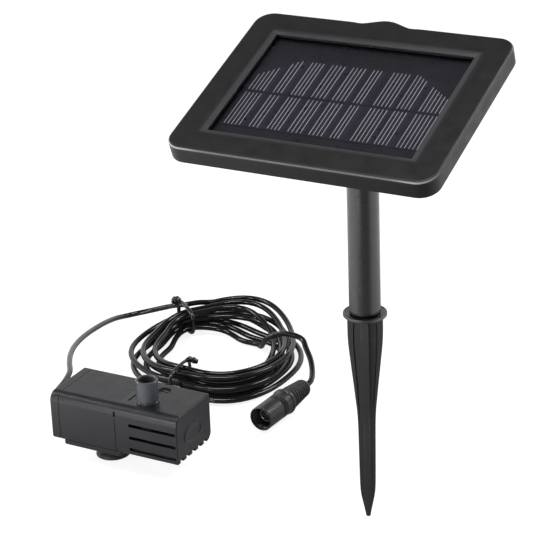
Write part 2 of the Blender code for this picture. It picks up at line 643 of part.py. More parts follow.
def impeller():
    "hub and disc with three bars across the axis, which make six blades"
    profile = [(0, -158.0), (2.9, -158.0), (3.1, -158.3), (3.1, -168.2), (9.6, -168.2),
               (9.8, -168.5), (9.8, -169.7), (3.3, -169.7), (3.3, -178.7), (0, -178.7)]
    wheel = turned("impeller", profile, ROTOR_FRAME, IMPELLER_MAT, ROTOR)
    for k in range(3):
        where = frame((-163.6, PUMP_Y, ROTOR_Z), rx=math.pi*k/3)
        join(wheel, block("blade_%d" % k, (9.8, 1.2, 18.0), (0, 0, 0), where))
    cut(wheel, rod("impeller_bore", SHAFT_HOLE_R, -180.0, -150.0, ROTOR_FRAME))


def intake_cover():
    "slotted cover at the front end"
    cover = plate("intake_cover", pump_section(), 0.0, PUMP_X1-(SEAM_X-3.0),
                  section(SEAM_X-3.0), PUMP_MAT, COVER)
    round_edges(cover, 1.2, 2, 60)
    cut(cover,
        trim_block("cover_trim", SEAM_X+HALF_GAP-4.0),
        plate("cover_cavity", pump_section(2.0), -1.0, PUMP_X1-2.2-SEAM_X, section(SEAM_X)),
        plate("nozzle_slot", nozzle_outline(TONGUE_R+GAP, SEAM_X-2), PUMP_Z1-4.0, PUMP_Z1+1.0,
              WORLD))
    slot_x0 = -163.0
    side_length, bottom_length, bottom_pitch = 35.2, 38.0, 7.4
    for k, z in enumerate((36.1, 27.2, 18.9)):
        for number, side in enumerate((-1, 1)):
            cut(cover, block("side_slot_%d_%d" % (k, number), (side_length, 5.6, 2.4),
                             (slot_x0+side_length/2, PUMP_Y+side*PUMP_W/2, z)))
    for k in range(5):
        cut(cover, block("bottom_slot_%d" % k, (bottom_length, 4.2, 5.8),
                         (slot_x0+bottom_length/2, -12.4+k*bottom_pitch, PUMP_Z0)))
    cut(cover, rod("regulator_hole", 3.4, PUMP_Z1-4.0, PUMP_Z1+1, REGULATOR_FRAME,
                   segments=14))


def end_badge():
    "plain oval on the intake cover's end"
    points = [(10.6*x, 6.4*y) for x, y in arc(0, 0, 1.0, 0, 360, 28)[:-1]]
    where = frame((PUMP_X1+GAP, PUMP_Y-1.6, 30.2), rx=QUARTER, rz=QUARTER)
    plate("end_badge", points, 0.0, 0.55, where, PUMP_MAT, COVER)


def base_plate():
    outline = rounded(22.3, 20.7, 2.0, 3, -192.9, PUMP_Y)
    base = plate("base_plate", outline, 11.2, PUMP_Z0-GAP, WORLD, PUMP_MAT, PUMP)
    round_edges(base, 0.5, 1, 60)
    cut(base,
        rod("stud_hole", 2.9, 10.0, 17.0, CUP_FRAME),
        rod("stud_counterbore", 4.3, 13.3, 17.0, CUP_FRAME))


def suction_cup():
    profile = [
        (0, 14.2), (3.6, 14.2), (3.9, 13.9), (3.9, 13.5), (2.6, 13.5), (2.6, 10.9), (4.0, 10.6),
        (4.4, 9.2), (5.6, 7.0), (8.0, 4.4), (10.6, 2.1), (11.5, 0.8), (11.5, 0.0), (10.0, 0.0),
        (7.6, 2.6), (4.6, 5.2), (2.0, 6.4), (0, 6.6)]
    turned("suction_cup", profile, CUP_FRAME, RUBBER, PUMP, segments=20)


def flow_regulator():
    "slotted button in the cover's top, beside the nozzle"
    top = PUMP_Z1-0.7
    profile = [(0, top), (2.8, top), (3.1, PUMP_Z1-1.0), (3.1, PUMP_Z1-2.3),
               (4.2, PUMP_Z1-2.3), (4.2, PUMP_Z1-3.5), (0, PUMP_Z1-3.5)]
    button = turned("flow_regulator", profile, REGULATOR_FRAME, STAKE_MAT, REGULATOR,
                    segments=14)
    cut(button, block("regulator_slot", (4.6, 1.0, 1.6), (REGULATOR_X, REGULATOR_Y, top)))


# ==== cable =============================================================================
def wrap(angle):
    return (angle + math.pi) % (2*math.pi) - math.pi


def bumps(table, angle):
    "sum of the bell-shaped bumps of a table at an angle round the coil"
    return sum(height*math.exp(-(wrap(angle-math.radians(centre))/width)**2)
               for height, centre, width in table)


def ease(x):
    x = min(1.0, max(0.0, x))
    return x*x*(3-2*x)


def catmull(p0, p1, p2, p3, u):
    "Catmull-Rom value between p1 and p2"
    return 0.5*(2*p1 + (p2-p0)*u + (2*p0-5*p1+4*p2-p3)*u*u + (3*p1-p0-3*p2+p3)*u**3)


def catmull_path(points, steps):
    last = len(points)-1
    path = [points[0]]
    for i in range(last):
        around = (points[max(i-1, 0)], points[i], points[i+1], points[min(i+2, last)])
        for j in range(1, steps+1):
            path.append(tuple(catmull(*values, j/steps) for values in zip(*around)))
    return path


def around_coil(table, angle):
    "smooth value of a table that has one entry every 30 degrees"
    x = (math.degrees(wrap(angle)) + 180.0)/30.0
    i = math.floor(x)
    near = [table[(i+k) % len(table)] for k in (-1, 0, 1, 2)]
    return catmull(*near, x-i)


def layer(turn):
    "2 on the top layer, 0 on the bottom one"
    return 2.0 - ease((turn-STEP_1)/0.3) - ease((turn-STEP_2)/0.28)


def wander(shape, angle):
    (height, waves, phase), table = shape
    return height*math.sin(waves*angle+phase) + bumps(table, angle)


def shift(angle, level):
    "sideways shift of the cable, blended between layers"
    middle = wander(WANDER_MIDDLE, angle)
    if level >= 1:
        value = middle + (wander(WANDER_TOP, angle)-middle)*(level-1)
    else:
        bottom = wander(WANDER_BOTTOM, angle)
        value = bottom + (middle-bottom)*level
    return value*(1.0 - bumps(TIE_HOLD, angle))


def cable_height(angle, level):
    return CABLE_R + 0.15 + bumps(TIE_LIFT, angle) + LAYER_H*level*(1.0 + bumps(PUFF, angle))


def coil_point(turn):
    angle = math.radians(TIE_1_DEG) - 2*math.pi*turn
    level = layer(turn)
    offset = float(np.interp(turn, *zip(*OFFSETS)))
    radius = (around_coil(BUNDLE_RADIUS, angle) + around_coil(BUNDLE_SPREAD, angle)*offset
              + shift(angle, level))
    return (COIL_X + radius*math.cos(angle), COIL_Y + radius*math.sin(angle),
            cable_height(angle, level))


def polar(degrees, radius, z):
    angle = math.radians(degrees)
    return (COIL_X+radius*math.cos(angle), COIL_Y+radius*math.sin(angle), z)


def connector_point(distance):
    "point on the connector's axis, measured from its mouth"
    x, y, z = CONNECTOR_START
    return (x+distance*math.cos(CONNECTOR_ANGLE), y+distance*math.sin(CONNECTOR_ANGLE), z)


# (x, y, z) from the driver board through the grommet to the coil
LEAD_POINTS = [
    (-213.0, PUMP_Y, ROTOR_Z), (-219.0, PUMP_Y, ROTOR_Z), (-226.0, PUMP_Y, ROTOR_Z),
    (-232.3, PUMP_Y+0.3, ROTOR_Z-0.1), (-237.6, 8.3, 31.4), (-240.4, 16.0, 31.2),
    (-243.4, 28.0, 31.0), (-249.4, 43.3, 30.4), (-258.9, 57.2, 29.3), (-268.3, 72.2, 27.4),
    (-277.4, 90.7, 24.5), (-284.8, 111.3, 21.0), (-290.2, 131.0, 17.3), (-295.4, 156.0, 12.3),
    (-298.9, 177.5, 7.0), (-297.0, 193.0, 3.6), (-284.0, 201.0, 6.3), (-268.5, 203.0, 11.6),
    (-259.3, 201.0, 15.4), (-251.3, 202.6, 16.9), (-244.3, 210.6, 16.6)]
# (degrees round the coil, radius, z) from inside the coil over the bundle
CROSSING = [(45, 36.0, 4.5), (35, 36.6, 9.5), (27, 40.0, 16.0), (22.5, 47.5, 20.8),
            (19, 57.0, 22.4), (15, 66.5, 21.0)]
# (x, y, z) from the bundle to the connector
TAIL_POINTS = [(-131.0, 169.0, 17.6), (-122.8, 160.0, 14.0), (-115.6, 148.5, 10.9),
               (-111.2, 137.5, 9.7)]


def pump_cable():
    # the lead and tail each run a little into the coil so that they leave it smoothly
    lead = LEAD_POINTS + [coil_point(COIL_START), coil_point(COIL_START+0.05)]
    points = catmull_path(lead, CURVE_STEPS)[:-CURVE_STEPS]
    turns = COIL_END-COIL_START
    count = int(POINTS_PER_TURN*turns)
    points += [coil_point(COIL_START + turns*i/count) for i in range(1, count+1)]
    tail = [coil_point(COIL_END-0.05), coil_point(COIL_END)]
    tail += [polar(*station) for station in CROSSING] + TAIL_POINTS
    tail += [connector_point(CONNECTOR_LEN+extra) for extra in (0.5, -10, -31)]
    points += catmull_path(tail, CURVE_STEPS)[CURVE_STEPS+1:]
    wire("pump_cable", points, CABLE_R, WORLD, CABLE_MAT, PUMP)


def twist_tie(name, degrees, holds_lead):
    "wire round the bundle, its two ends side by side; may also hold the lead to the pump"
    angle = math.radians(degrees)
    middle = around_coil(BUNDLE_RADIUS, angle)
    spread = around_coil(BUNDLE_SPREAD, angle)
    reach = CABLE_R + TIE_R + 0.45
    offsets = [offset for _, offset in OFFSETS]
    shifts = [shift(angle, level) for level in (0, 1, 2)]
    r0 = middle + min(offsets)*spread + min(shifts) - reach
    r1 = middle + max(offsets)*spread + max(shifts) + reach
    z0 = TIE_R + 0.05
    z1 = cable_height(angle, 2) + reach
    if holds_lead:
        r0 -= 1.9
        r1 += 3.8
        z1 += 2.0
        start, outward = math.radians(62), 1
    else:
        z1 += 0.4
        start, outward = math.radians(118), -1

    # loop as (radius, z): an ellipse squared up by an exponent below 1
    steps, squareness = 20, 0.42
    loop = []
    for i in range(steps+1):
        turn = start + 2*math.pi*(i+0.55)/(steps+1.1)
        across, up = [math.copysign(abs(value)**squareness, value)
                      for value in (math.cos(turn), math.sin(turn))]
        loop.append((0.5*(r0+r1) + 0.5*(r1-r0)*across, 0.5*(z0+z1) + 0.5*(z1-z0)*up))
    first, last = loop[0], loop[-1]
    line = [(first[0]+outward*4.6, first[1]+3.8), (first[0]+outward*1.6, first[1]+2.4)]
    line += loop
    line += [(last[0]+outward*0.4, last[1]+2.9), (last[0]+outward*2.6, last[1]+5.6)]
    # sideways offsets that keep the two ends apart
    sides = [1.45, 1.45, 0.7] + [0.0]*(len(line)-6) + [-0.7, -1.45, -1.45]
    points = [(COIL_X+radius*math.cos(angle)-side*math.sin(angle),
               COIL_Y+radius*math.sin(angle)+side*math.cos(angle), z)
              for (radius, z), side in zip(line, sides)]
    wire(name, points, TIE_R, WORLD, RUBBER, PUMP)


# ==== connector =========================================================================
def coupling_nut():
    profile = [(7.3, 0.0), (8.1, 0.0), (8.6, -0.5), (8.6, -17.2), (8.1, -17.6), (8.1, -18.6),
               (5.9, -18.6), (5.9, -16.2), (7.3, -14.8)]
    turned("coupling_nut", profile, CONNECTOR_FRAME, RUBBER, NUT, segments=22, ring=True)


def connector_body():
    "body with a groove and a collar, bored for the contacts"
    profile = [
        (4.75, -7.6), (5.6, -7.6), (5.6, -18.95), (8.2, -18.95), (8.6, -19.3), (8.6, -20.2),
        (8.15, -20.6), (8.15, -22.4), (8.6, -22.8), (8.6, -28.8), (9.2, -29.2), (9.4, -30.0),
        (9.2, -31.0), (8.6, -31.6), (2.4, -31.6), (2.4, -24.0), (1.35, -24.0), (1.35, -16.4),
        (4.75, -16.4)]
    turned("connector_body", profile, CONNECTOR_FRAME, RUBBER, PUMP, segments=22, ring=True)


def connector_boot():
    "boot with four ribs that shrink towards the cable"
    profile = [(2.3, -31.95), (7.9, -31.95), (7.9, -33.6)]
    for k in range(4):
        radius, z = 7.7-0.75*k, -33.6-5.0*k
        profile += [(radius-0.9, z-1.4), (radius, z-2.6), (radius-0.35, z-5.0)]
    profile += [(4.6, -55.6), (4.1, -CONNECTOR_LEN), (2.3, -CONNECTOR_LEN)]
    turned("connector_boot", profile, CONNECTOR_FRAME, RUBBER, PUMP, ring=True)


def connector_contacts():
    sleeve = [(4.0, -6.8), (4.45, -6.8), (4.45, -16.1), (4.0, -16.1)]
    turned("contact_sleeve", sleeve, CONNECTOR_FRAME, STEEL, PUMP, ring=True)
    pin = [(0, -8.2), (0.6, -8.2), (1.05, -8.9), (1.05, -22.0), (0, -22.0)]
    turned("contact_pin", pin, CONNECTOR_FRAME, STEEL, PUMP, segments=12)


def connector_o_ring():
    cx, cy, cz = connector_point(13.0)
    points = [(cx-across*math.sin(CONNECTOR_ANGLE), cy+across*math.cos(CONNECTOR_ANGLE), cz+up)
              for across, up in arc(0, 0, 6.45, 0, 360, 24)[:-1]]
    wire("connector_o_ring", points, 0.52, WORLD, RUBBER, PUMP, cyclic=True)


for build in (
        ground_stake, post_tube, post_head,
        panel_bezel, clear_sheet_and_board, cell_rows, back_cover, cover_screws, dc_socket,
        socket_leads, tilt_bolt, tilt_knob,
        motor_housing, rear_cap, cable_grommet, stator, driver_board, rotor_shaft,
        volute_cover, volute_o_ring, rotor_magnet, rotor_bushes, impeller, intake_cover,
        end_badge, base_plate, suction_cup, flow_regulator,
        pump_cable, coupling_nut, connector_body, connector_boot, connector_contacts,
        connector_o_ring):
    build()
twist_tie("twist_tie_1", TIE_1_DEG, holds_lead=True)
twist_tie("twist_tie_2", TIE_2_DEG, holds_lead=False)
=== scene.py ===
# Solar fountain pump: a tilted panel on a post and ground stake, a pump on a base plate with a
# suction cup, and a coiled cable from the pump to a loose connector.
# World metres, +Z up, ground at Z = 0. The stake stands on the origin, the pump lies along X
# on the -X side with its intake towards +X. Sizes below are in millimetres unless noted.
import bpy
import bmesh
import json
import math
from mathutils import Vector, Matrix, Euler


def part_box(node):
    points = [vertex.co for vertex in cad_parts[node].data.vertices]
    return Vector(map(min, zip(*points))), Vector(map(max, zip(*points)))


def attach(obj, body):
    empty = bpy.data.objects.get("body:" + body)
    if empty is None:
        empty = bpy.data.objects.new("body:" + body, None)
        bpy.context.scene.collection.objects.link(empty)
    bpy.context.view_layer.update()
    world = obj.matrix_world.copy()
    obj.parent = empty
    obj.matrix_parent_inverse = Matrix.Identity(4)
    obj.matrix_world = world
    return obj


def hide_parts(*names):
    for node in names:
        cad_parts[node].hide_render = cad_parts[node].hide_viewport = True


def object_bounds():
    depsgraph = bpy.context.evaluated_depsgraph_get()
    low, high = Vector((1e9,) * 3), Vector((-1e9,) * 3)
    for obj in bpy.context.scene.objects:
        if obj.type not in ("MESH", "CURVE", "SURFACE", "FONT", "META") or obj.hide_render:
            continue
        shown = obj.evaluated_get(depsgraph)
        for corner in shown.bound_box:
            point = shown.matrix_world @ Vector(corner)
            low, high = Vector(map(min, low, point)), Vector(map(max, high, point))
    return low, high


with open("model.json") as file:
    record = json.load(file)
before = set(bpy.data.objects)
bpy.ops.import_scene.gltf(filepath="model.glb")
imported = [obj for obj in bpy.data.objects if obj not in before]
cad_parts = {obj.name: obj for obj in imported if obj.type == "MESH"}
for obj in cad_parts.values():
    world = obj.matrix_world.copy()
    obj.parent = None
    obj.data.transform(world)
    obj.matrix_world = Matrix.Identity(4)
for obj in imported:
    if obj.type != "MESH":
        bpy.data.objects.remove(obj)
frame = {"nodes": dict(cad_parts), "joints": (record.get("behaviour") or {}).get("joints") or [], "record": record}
cad_low, cad_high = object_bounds()
MM = 0.001
JOINTS = {j["name"]: j for j in frame["joints"]}
scene = bpy.context.scene


# ---- places, read from the frame ---------------------------------------------------------
def in_mm(metres):
    return [x/MM for x in metres]


def joint(name):
    return in_mm(JOINTS[name]["pos_m"])


def span(node):
    low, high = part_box(node)
    return Vector(in_mm(low)), Vector(in_mm(high))


STAKE_TOP = joint("post_swivel")[2]
TUBE_TOP = span("post_tube")[1].z
TUBE_R = 9.5

# panel: U runs across, V up the slope, N out of its face
PIVOT = Vector(joint("panel_tilt"))
bezel_low, bezel_high = span("panel_bezel")
PANEL_W = bezel_high.x - bezel_low.x
PANEL_D, PANEL_T, PANEL_R, WALL = 129.6, 11.1, 11.0, 2.4    # depth, thickness, corner, wall
WINDOW_W, WINDOW_D = 126.0, 91.2
HUMP = 4.2                                                  # swelling of the upper edge
cell_faces = sorted(frame["nodes"]["cell_row_lower"].data.polygons, key=lambda p: -p.area)
cell_normal = next(p.normal for p in cell_faces if p.normal.z > 0.5)
TILT = math.atan2(-cell_normal.y, cell_normal.z)
PIVOT_U = PIVOT.x - 0.5*(bezel_low.x + bezel_high.x)
PIVOT_V, PIVOT_N = 14.51, -22.63
AXIS_U = Vector((1, 0, 0))
AXIS_V = Vector((0, math.cos(TILT), math.sin(TILT)))
AXIS_N = Vector((0, -math.sin(TILT), math.cos(TILT)))
PANEL_ORIGIN = PIVOT - AXIS_U*PIVOT_U - AXIS_V*PIVOT_V - AXIS_N*PIVOT_N

# pump
cap_low, cap_high = span("rear_cap")
intake_low, intake_high = span("intake_cover")
REAR_X, INTAKE_X = cap_low.x, intake_high.x
PUMP_Y = 0.5*(cap_low.y + cap_high.y)
PUMP_W = cap_high.y - cap_low.y
PUMP_Z0, PUMP_Z1 = cap_low.z, cap_high.z
PUMP_H = PUMP_Z1 - PUMP_Z0
AXLE_Z = joint("rotor_spin")[2]
CAP_X = cap_high.x + 0.15                                   # joint of rear cap and housing
SEAM_X = intake_low.x - 0.15                                # joint of housing and intake cover
NOZZLE_X, NOZZLE_Y = -156.9, -1.9
NOZZLE_TOP = span("volute_cover")[1].z
cup_low, cup_high = span("suction_cup")
CUP_X = 0.5*(cup_low.x + cup_high.x)
regulator_place = Vector(joint("regulator_turn"))
REG_X, REG_Y = regulator_place.x, regulator_place.y

# connector
CONN_MOUTH = Vector(joint("nut_turn"))
conn_axis = JOINTS["nut_turn"]["axis"]
CONN_ANGLE = math.atan2(conn_axis[1], conn_axis[0])
CONN_LENGTH = 57.0


def frame_at(place, rx=0.0, ry=0.0, rz=0.0):
    turn = Euler((rx, ry, rz), 'XYZ').to_matrix().to_4x4()
    return Matrix.Translation(Vector(place)*MM) @ turn


def on_panel(u, v, n):
    return PANEL_ORIGIN + AXIS_U*u + AXIS_V*v + AXIS_N*n


QUARTER = math.pi/2
WORLD = frame_at((0, 0, 0))
PANEL = frame_at(PANEL_ORIGIN, rx=TILT)
TILT_AXLE = frame_at((0, 0, PIVOT.z), ry=QUARTER)           # local Z along world X
PUMP_AXLE = frame_at((0, PUMP_Y, AXLE_Z), ry=QUARTER)       # local Z along world X
PUMP_SECTION = frame_at((0, 0, 0), rx=QUARTER, rz=QUARTER)  # drawn in (y, z), extruded along x
SOCKET = frame_at(on_panel(0, 62.0, -18.6), rx=TILT-QUARTER)
NOZZLE = frame_at((NOZZLE_X, NOZZLE_Y, 0))
CUP = frame_at((CUP_X, PUMP_Y, 0))
REGULATOR = frame_at((REG_X, REG_Y, 0))
# local -Z runs from the nut's mouth towards the boot
CONNECTOR = frame_at(CONN_MOUTH, rx=QUARTER, rz=CONN_ANGLE-QUARTER)


# ==========================================================================================
# materials, all procedural; lengths in metres
# ==========================================================================================
class Net:
    "a node tree with short ways to add and wire nodes"

    def __init__(self, owner, main="Principled BSDF"):
        owner.use_nodes = True
        self.owner = owner
        self.nodes = owner.node_tree.nodes
        self.main = self.nodes[main]
        self.coords = self.new("ShaderNodeTexCoord")

    def feed(self, socket, value):
        "links a socket, or sets a plain value"
        if isinstance(value, bpy.types.NodeSocket):
            self.owner.node_tree.links.new(value, socket)
        elif socket.type == 'RGBA':
            socket.default_value = (*value, 1.0)
        else:
            socket.default_value = value

    def new(self, kind, inputs=None, **props):
        node = self.nodes.new(kind)
        for key, value in props.items():
            setattr(node, key, value)
        for key, value in (inputs or {}).items():
            self.feed(node.inputs[key], value)
        return node

    def output(self, inputs):
        for key, value in inputs.items():
            self.feed(self.main.inputs[key], value)

    def noise(self, scale, detail=3.0, roughness=0.5, stretch=None):
        vector = self.coords.outputs["Object"]
        if stretch:
            mapping = self.new("ShaderNodeMapping", {"Scale": stretch, "Vector": vector})
            vector = mapping.outputs["Vector"]
        return self.new("ShaderNodeTexNoise", {
            "Scale": scale, "Detail": detail, "Roughness": roughness,
            "Vector": vector}).outputs["Fac"]

    def remap(self, value, span, to, smooth=False):
        kind = {"interpolation_type": 'SMOOTHSTEP'} if smooth else {}
        return self.new("ShaderNodeMapRange", {
            "Value": value, "From Min": span[0], "From Max": span[1],
            "To Min": to[0], "To Max": to[1]}, **kind).outputs["Result"]

    def math(self, operation, a, b=None, clamp=False):
        inputs = {0: a} if b is None else {0: a, 1: b}
        return self.new("ShaderNodeMath", inputs, operation=operation,
                        use_clamp=clamp).outputs[0]

    def multiply(self, a, b, clamp=False):
        return self.math('MULTIPLY', a, b, clamp)

    def vector_math(self, operation, a, b=None):
        inputs = {0: a} if b is None else {0: a, 1: b}
        node = self.new("ShaderNodeVectorMath", inputs, operation=operation)
        return node.outputs["Value" if operation in ('DOT_PRODUCT', 'DISTANCE') else "Vector"]

    def mix(self, share, a, b):
        return self.new("ShaderNodeMix", {0: share, 6: a, 7: b}, data_type='RGBA').outputs[2]

    def edges(self, radius):
        "1 on convex and concave edges, 0 on flats"
        bevel = self.new("ShaderNodeBevel", {"Radius": radius}, samples=4)
        true = self.new("ShaderNodeNewGeometry")
        match = self.vector_math('DOT_PRODUCT', bevel.outputs["Normal"], true.outputs["Normal"])
        return self.remap(match, span=(0.998, 0.90), to=(0.0, 1.0))

    def bump(self, height, strength, distance, base=None):
        inputs = {"Strength": strength, "Distance": distance, "Height": height}
        if base is not None:
            inputs["Normal"] = base
        return self.new("ShaderNodeBump", inputs).outputs["Normal"]


def new_net(name):
    return Net(bpy.data.materials.new(name))


def scaled(colour, factor, add=0.0):
    return tuple(min(1.0, x*factor+add) for x in colour)


def plastic(name, colour, rough, grain, bump, mottle, wear, depth=0.00006, rough_swing=0.07,
            specular=0.5, coat=0.0, dust=0.0, swirl=0.0, painted_highlight=None):
    """mottled, grained plastic: grain is the noise scale, bump and depth its relief, wear the
    lightening of edges, dust the greying of upward faces, swirl a broad waviness"""
    net = new_net(name)
    patches = net.noise(scale=42.0, detail=4.0, roughness=0.55)
    out = net.mix(net.remap(patches, span=(0.34, 0.66), to=(0.0, 1.0)),
                  scaled(colour, 1-mottle), scaled(colour, 1+mottle))
    fine = net.noise(scale=grain, detail=2.0, roughness=0.6)
    out = net.mix(net.remap(fine, span=(0.30, 0.70), to=(0.0, 0.55)),
                  out, scaled(colour, 1.0+1.6*mottle))
    if dust > 0:
        geometry = net.new("ShaderNodeNewGeometry")
        facing = net.new("ShaderNodeSeparateXYZ", {0: geometry.outputs["Normal"]})
        upward = net.remap(facing.outputs["Z"], span=(0.55, 1.0), to=(0.0, 1.0))
        patch = net.remap(net.noise(scale=95.0, detail=5.0, roughness=0.65),
                          span=(0.40, 0.75), to=(0.0, dust))
        out = net.mix(net.multiply(upward, patch, clamp=True), out, (0.20, 0.19, 0.18))
    roughness = net.remap(net.noise(scale=110.0, detail=4.0, roughness=0.6),
                          span=(0.25, 0.75), to=(rough-rough_swing, rough+rough_swing))
    if wear > 0:
        broken = net.remap(net.noise(scale=260.0, detail=3.0, roughness=0.7),
                           span=(0.38, 0.62), to=(0.25, 1.0))
        worn = net.multiply(net.edges(radius=0.0007), broken, clamp=True)
        worn = net.multiply(worn, wear, clamp=True)
        out = net.mix(worn, out, scaled(colour, 2.3, add=0.035))
        roughness = net.math('ADD', roughness, net.multiply(worn, -0.10))
    normal = net.bump(fine, strength=bump, distance=depth)
    if swirl > 0:
        waves = net.noise(scale=55.0, detail=2.0, roughness=0.5)
        normal = net.bump(waves, strength=swirl, distance=0.0006, base=normal)
    net.output({"Base Color": out, "Roughness": roughness, "Normal": normal,
                "Specular IOR Level": specular, "Coat Weight": coat, "Coat Roughness": 0.18})
    # the last argument, if given, paints a highlight colour onto the material (painted highlight)
    if painted_highlight:
        painted_highlight(net)
    return net.owner


def metal(name, colour, rough, brushed=None, metallic=1.0):
    net = new_net(name)
    streaks = net.noise(scale=900.0 if brushed else 700.0, detail=3.0, roughness=0.6,
                        stretch=brushed)
    net.output({
        "Base Color": net.mix(net.remap(streaks, span=(0.3, 0.7), to=(0.0, 1.0)),
                              scaled(colour, 0.90), scaled(colour, 1.10)),
        "Roughness": net.remap(net.noise(scale=160.0, detail=4.0, roughness=0.6),
                               span=(0.25, 0.75), to=(rough-0.08, rough+0.08)),
        "Normal": net.bump(streaks, strength=0.20, distance=0.00003),
        "Metallic": metallic})
    return net.owner


def recolour(net, mask, colour):
    "mixes a colour over the base colour where the mask is 1"
    base = net.main.inputs["Base Color"].links[0].from_socket
    net.output({"Base Color": net.mix(mask, base, colour)})


def paint_fillet_highlight(net):
    "the frame's upper outside edge is smooth and light, most at the lower side and corners"
    coords = net.new("ShaderNodeTexCoord")
    place = net.new("ShaderNodeSeparateXYZ", {0: coords.outputs["Object"]})
    x, y, z = (place.outputs[axis] for axis in "XYZ")
    net.output({"Specular IOR Level":
                net.remap(z, span=(-0.0026, -0.0012), to=(0.14, 0.30), smooth=True)})
    rising = net.remap(z, span=(-0.00140, -0.00100), to=(0.0, 1.0), smooth=True)
    falling = net.remap(z, span=(-0.00060, -0.00025), to=(1.0, 0.0), smooth=True)
    low_edge, side_edge = -PANEL_D*0.5*MM, PANEL_W*0.5*MM
    lower = net.remap(y, span=(low_edge+0.0030, low_edge+0.0140), to=(1.0, 0.22), smooth=True)
    corner = net.remap(net.math('ABSOLUTE', x), span=(side_edge-0.030, side_edge-0.006),
                       to=(0.30, 1.0), smooth=True)
    mask = net.multiply(net.multiply(net.multiply(rising, falling), lower), corner)
    # painted highlight colour, mixed in along the fillet
    recolour(net, mask, (0.36, 0.36, 0.38))


def paint_neck_highlight(net):
    "the neck of the nozzle, above the pump's top, is a little lighter"
    geometry = net.new("ShaderNodeNewGeometry")
    place = net.new("ShaderNodeSeparateXYZ", {0: geometry.outputs["Position"]})
    above = net.remap(place.outputs["Z"], span=((PUMP_Z1+0.4)*MM, (PUMP_Z1+3.0)*MM),
                      to=(0.0, 1.0), smooth=True)
    # painted highlight colour for the neck
    recolour(net, above, (0.064, 0.068, 0.078))


def cell_material():
    "dark cells coloured by the mesh attribute 'band', with a fine violet sparkle"
    net = new_net("solar_cell_bands")
    band = net.new("ShaderNodeAttribute", attribute_name="band")
    sparkle = net.remap(net.noise(scale=1900.0, detail=2.0, roughness=0.7),
                        span=(0.42, 0.78), to=(0.0, 0.28))
    broad = net.remap(net.noise(scale=60.0), span=(0.3, 0.7), to=(0.0, 0.25))
    colour = net.mix(sparkle, band.outputs["Color"], (0.050, 0.046, 0.090))
    net.output({
        "Base Color": net.mix(broad, colour, (0.016, 0.015, 0.022)),
        "Roughness": net.remap(net.noise(scale=200.0), span=(0.3, 0.7), to=(0.26, 0.40)),
        "Specular IOR Level": 0.35})
    return net.owner


def sheet_material():
    "clear sheet with a faint, slightly wavy reflection"
    net = new_net("clear_laminate_sheet")
    net.nodes.remove(net.main)
    clear = net.new("ShaderNodeBsdfTransparent", {"Color": (0.93, 0.93, 0.95)})
    waves = net.noise(scale=30.0, detail=2.0)
    gloss = net.new("ShaderNodeBsdfGlossy", {
        "Color": (0.9, 0.92, 1.0),
        "Roughness": net.remap(net.noise(scale=24.0), span=(0.3, 0.7), to=(0.10, 0.20)),
        "Normal": net.bump(waves, strength=0.015, distance=0.0004)})
    fresnel = net.new("ShaderNodeFresnel", {"IOR": 1.42})
    uneven = net.remap(net.noise(scale=30.0, detail=4.0, roughness=0.6),
                       span=(0.3, 0.7), to=(0.10, 0.12))
    share = net.multiply(fresnel.outputs[0], uneven)
    mixed = net.new("ShaderNodeMixShader", {0: share, 1: clear.outputs[0], 2: gloss.outputs[0]})
    net.feed(net.nodes["Material Output"].inputs["Surface"], mixed.outputs[0])
    return net.owner


# the frame's plastic carries a painted highlight along its upper outside edge
FRAME_PLASTIC = plastic("panel_plastic_grained", (0.0095, 0.0095, 0.0105), rough=0.42,
                        grain=1500.0, bump=0.42, depth=0.00009, mottle=0.16, wear=0.30,
                        dust=0.035, painted_highlight=paint_fillet_highlight)
STAKE_PLASTIC = plastic("stake_plastic_satin", (0.0095, 0.0095, 0.0100), rough=0.33,
                        grain=900.0, bump=0.16, mottle=0.10, wear=0.30, specular=0.75)
TUBE_PAINT = plastic("post_paint_satin", (0.0055, 0.0055, 0.0066), rough=0.28, grain=2200.0,
                     bump=0.14, depth=0.00004, mottle=0.08, wear=0.15, specular=0.55)
PUMP_PLASTIC = plastic("pump_plastic_matt", (0.0098, 0.0099, 0.0120), rough=0.35,
                       grain=1700.0, bump=0.34, depth=0.00007, mottle=0.09, wear=0.42,
                       dust=0.02)
# the nozzle's plastic: lighter and glossier than the pump's, with a painted highlight on its neck
NOZZLE_PLASTIC = plastic("nozzle_plastic_lighter_painted_highlight", (0.0170, 0.0180, 0.0205), rough=0.26,
                         grain=1500.0, bump=0.42, depth=0.00009, mottle=0.14, wear=0.50,
                         painted_highlight=paint_neck_highlight)
CABLE_PVC = plastic("cable_pvc_gloss", (0.0060, 0.0062, 0.0075), rough=0.18, grain=700.0,
                    bump=0.02, depth=0.00003, mottle=0.12, wear=0.0, rough_swing=0.03,
                    specular=0.46)
TIE_SHEATH = plastic("tie_wire_sheath", (0.0075, 0.0075, 0.0085), rough=0.22, grain=900.0,
                     bump=0.10, mottle=0.10, wear=0.0, coat=0.15, swirl=0.10)
RUBBER = plastic("black_rubber_soft", (0.015, 0.015, 0.016), rough=0.50, grain=800.0,
                 bump=0.20, mottle=0.14, wear=0.15)
SHELL_PLASTIC = plastic("connector_shell", (0.017, 0.017, 0.018), rough=0.36, grain=1500.0,
                        bump=0.22, mottle=0.10, wear=0.35)
LAMINATE = plastic("laminate_black", (0.0050, 0.0048, 0.0082), rough=0.30, grain=500.0,
                   bump=0.04, mottle=0.10, wear=0.0)
STEEL = metal("plated_steel", (0.62, 0.61, 0.60), rough=0.24)
COPPER = metal("copper_wire_enamelled", (0.62, 0.25, 0.10), rough=0.30,
               brushed=(1.0, 0.08, 0.08))
CORE_STEEL = metal("lamination_steel", (0.26, 0.26, 0.27), rough=0.42, brushed=(6.0, 0.3, 0.3))
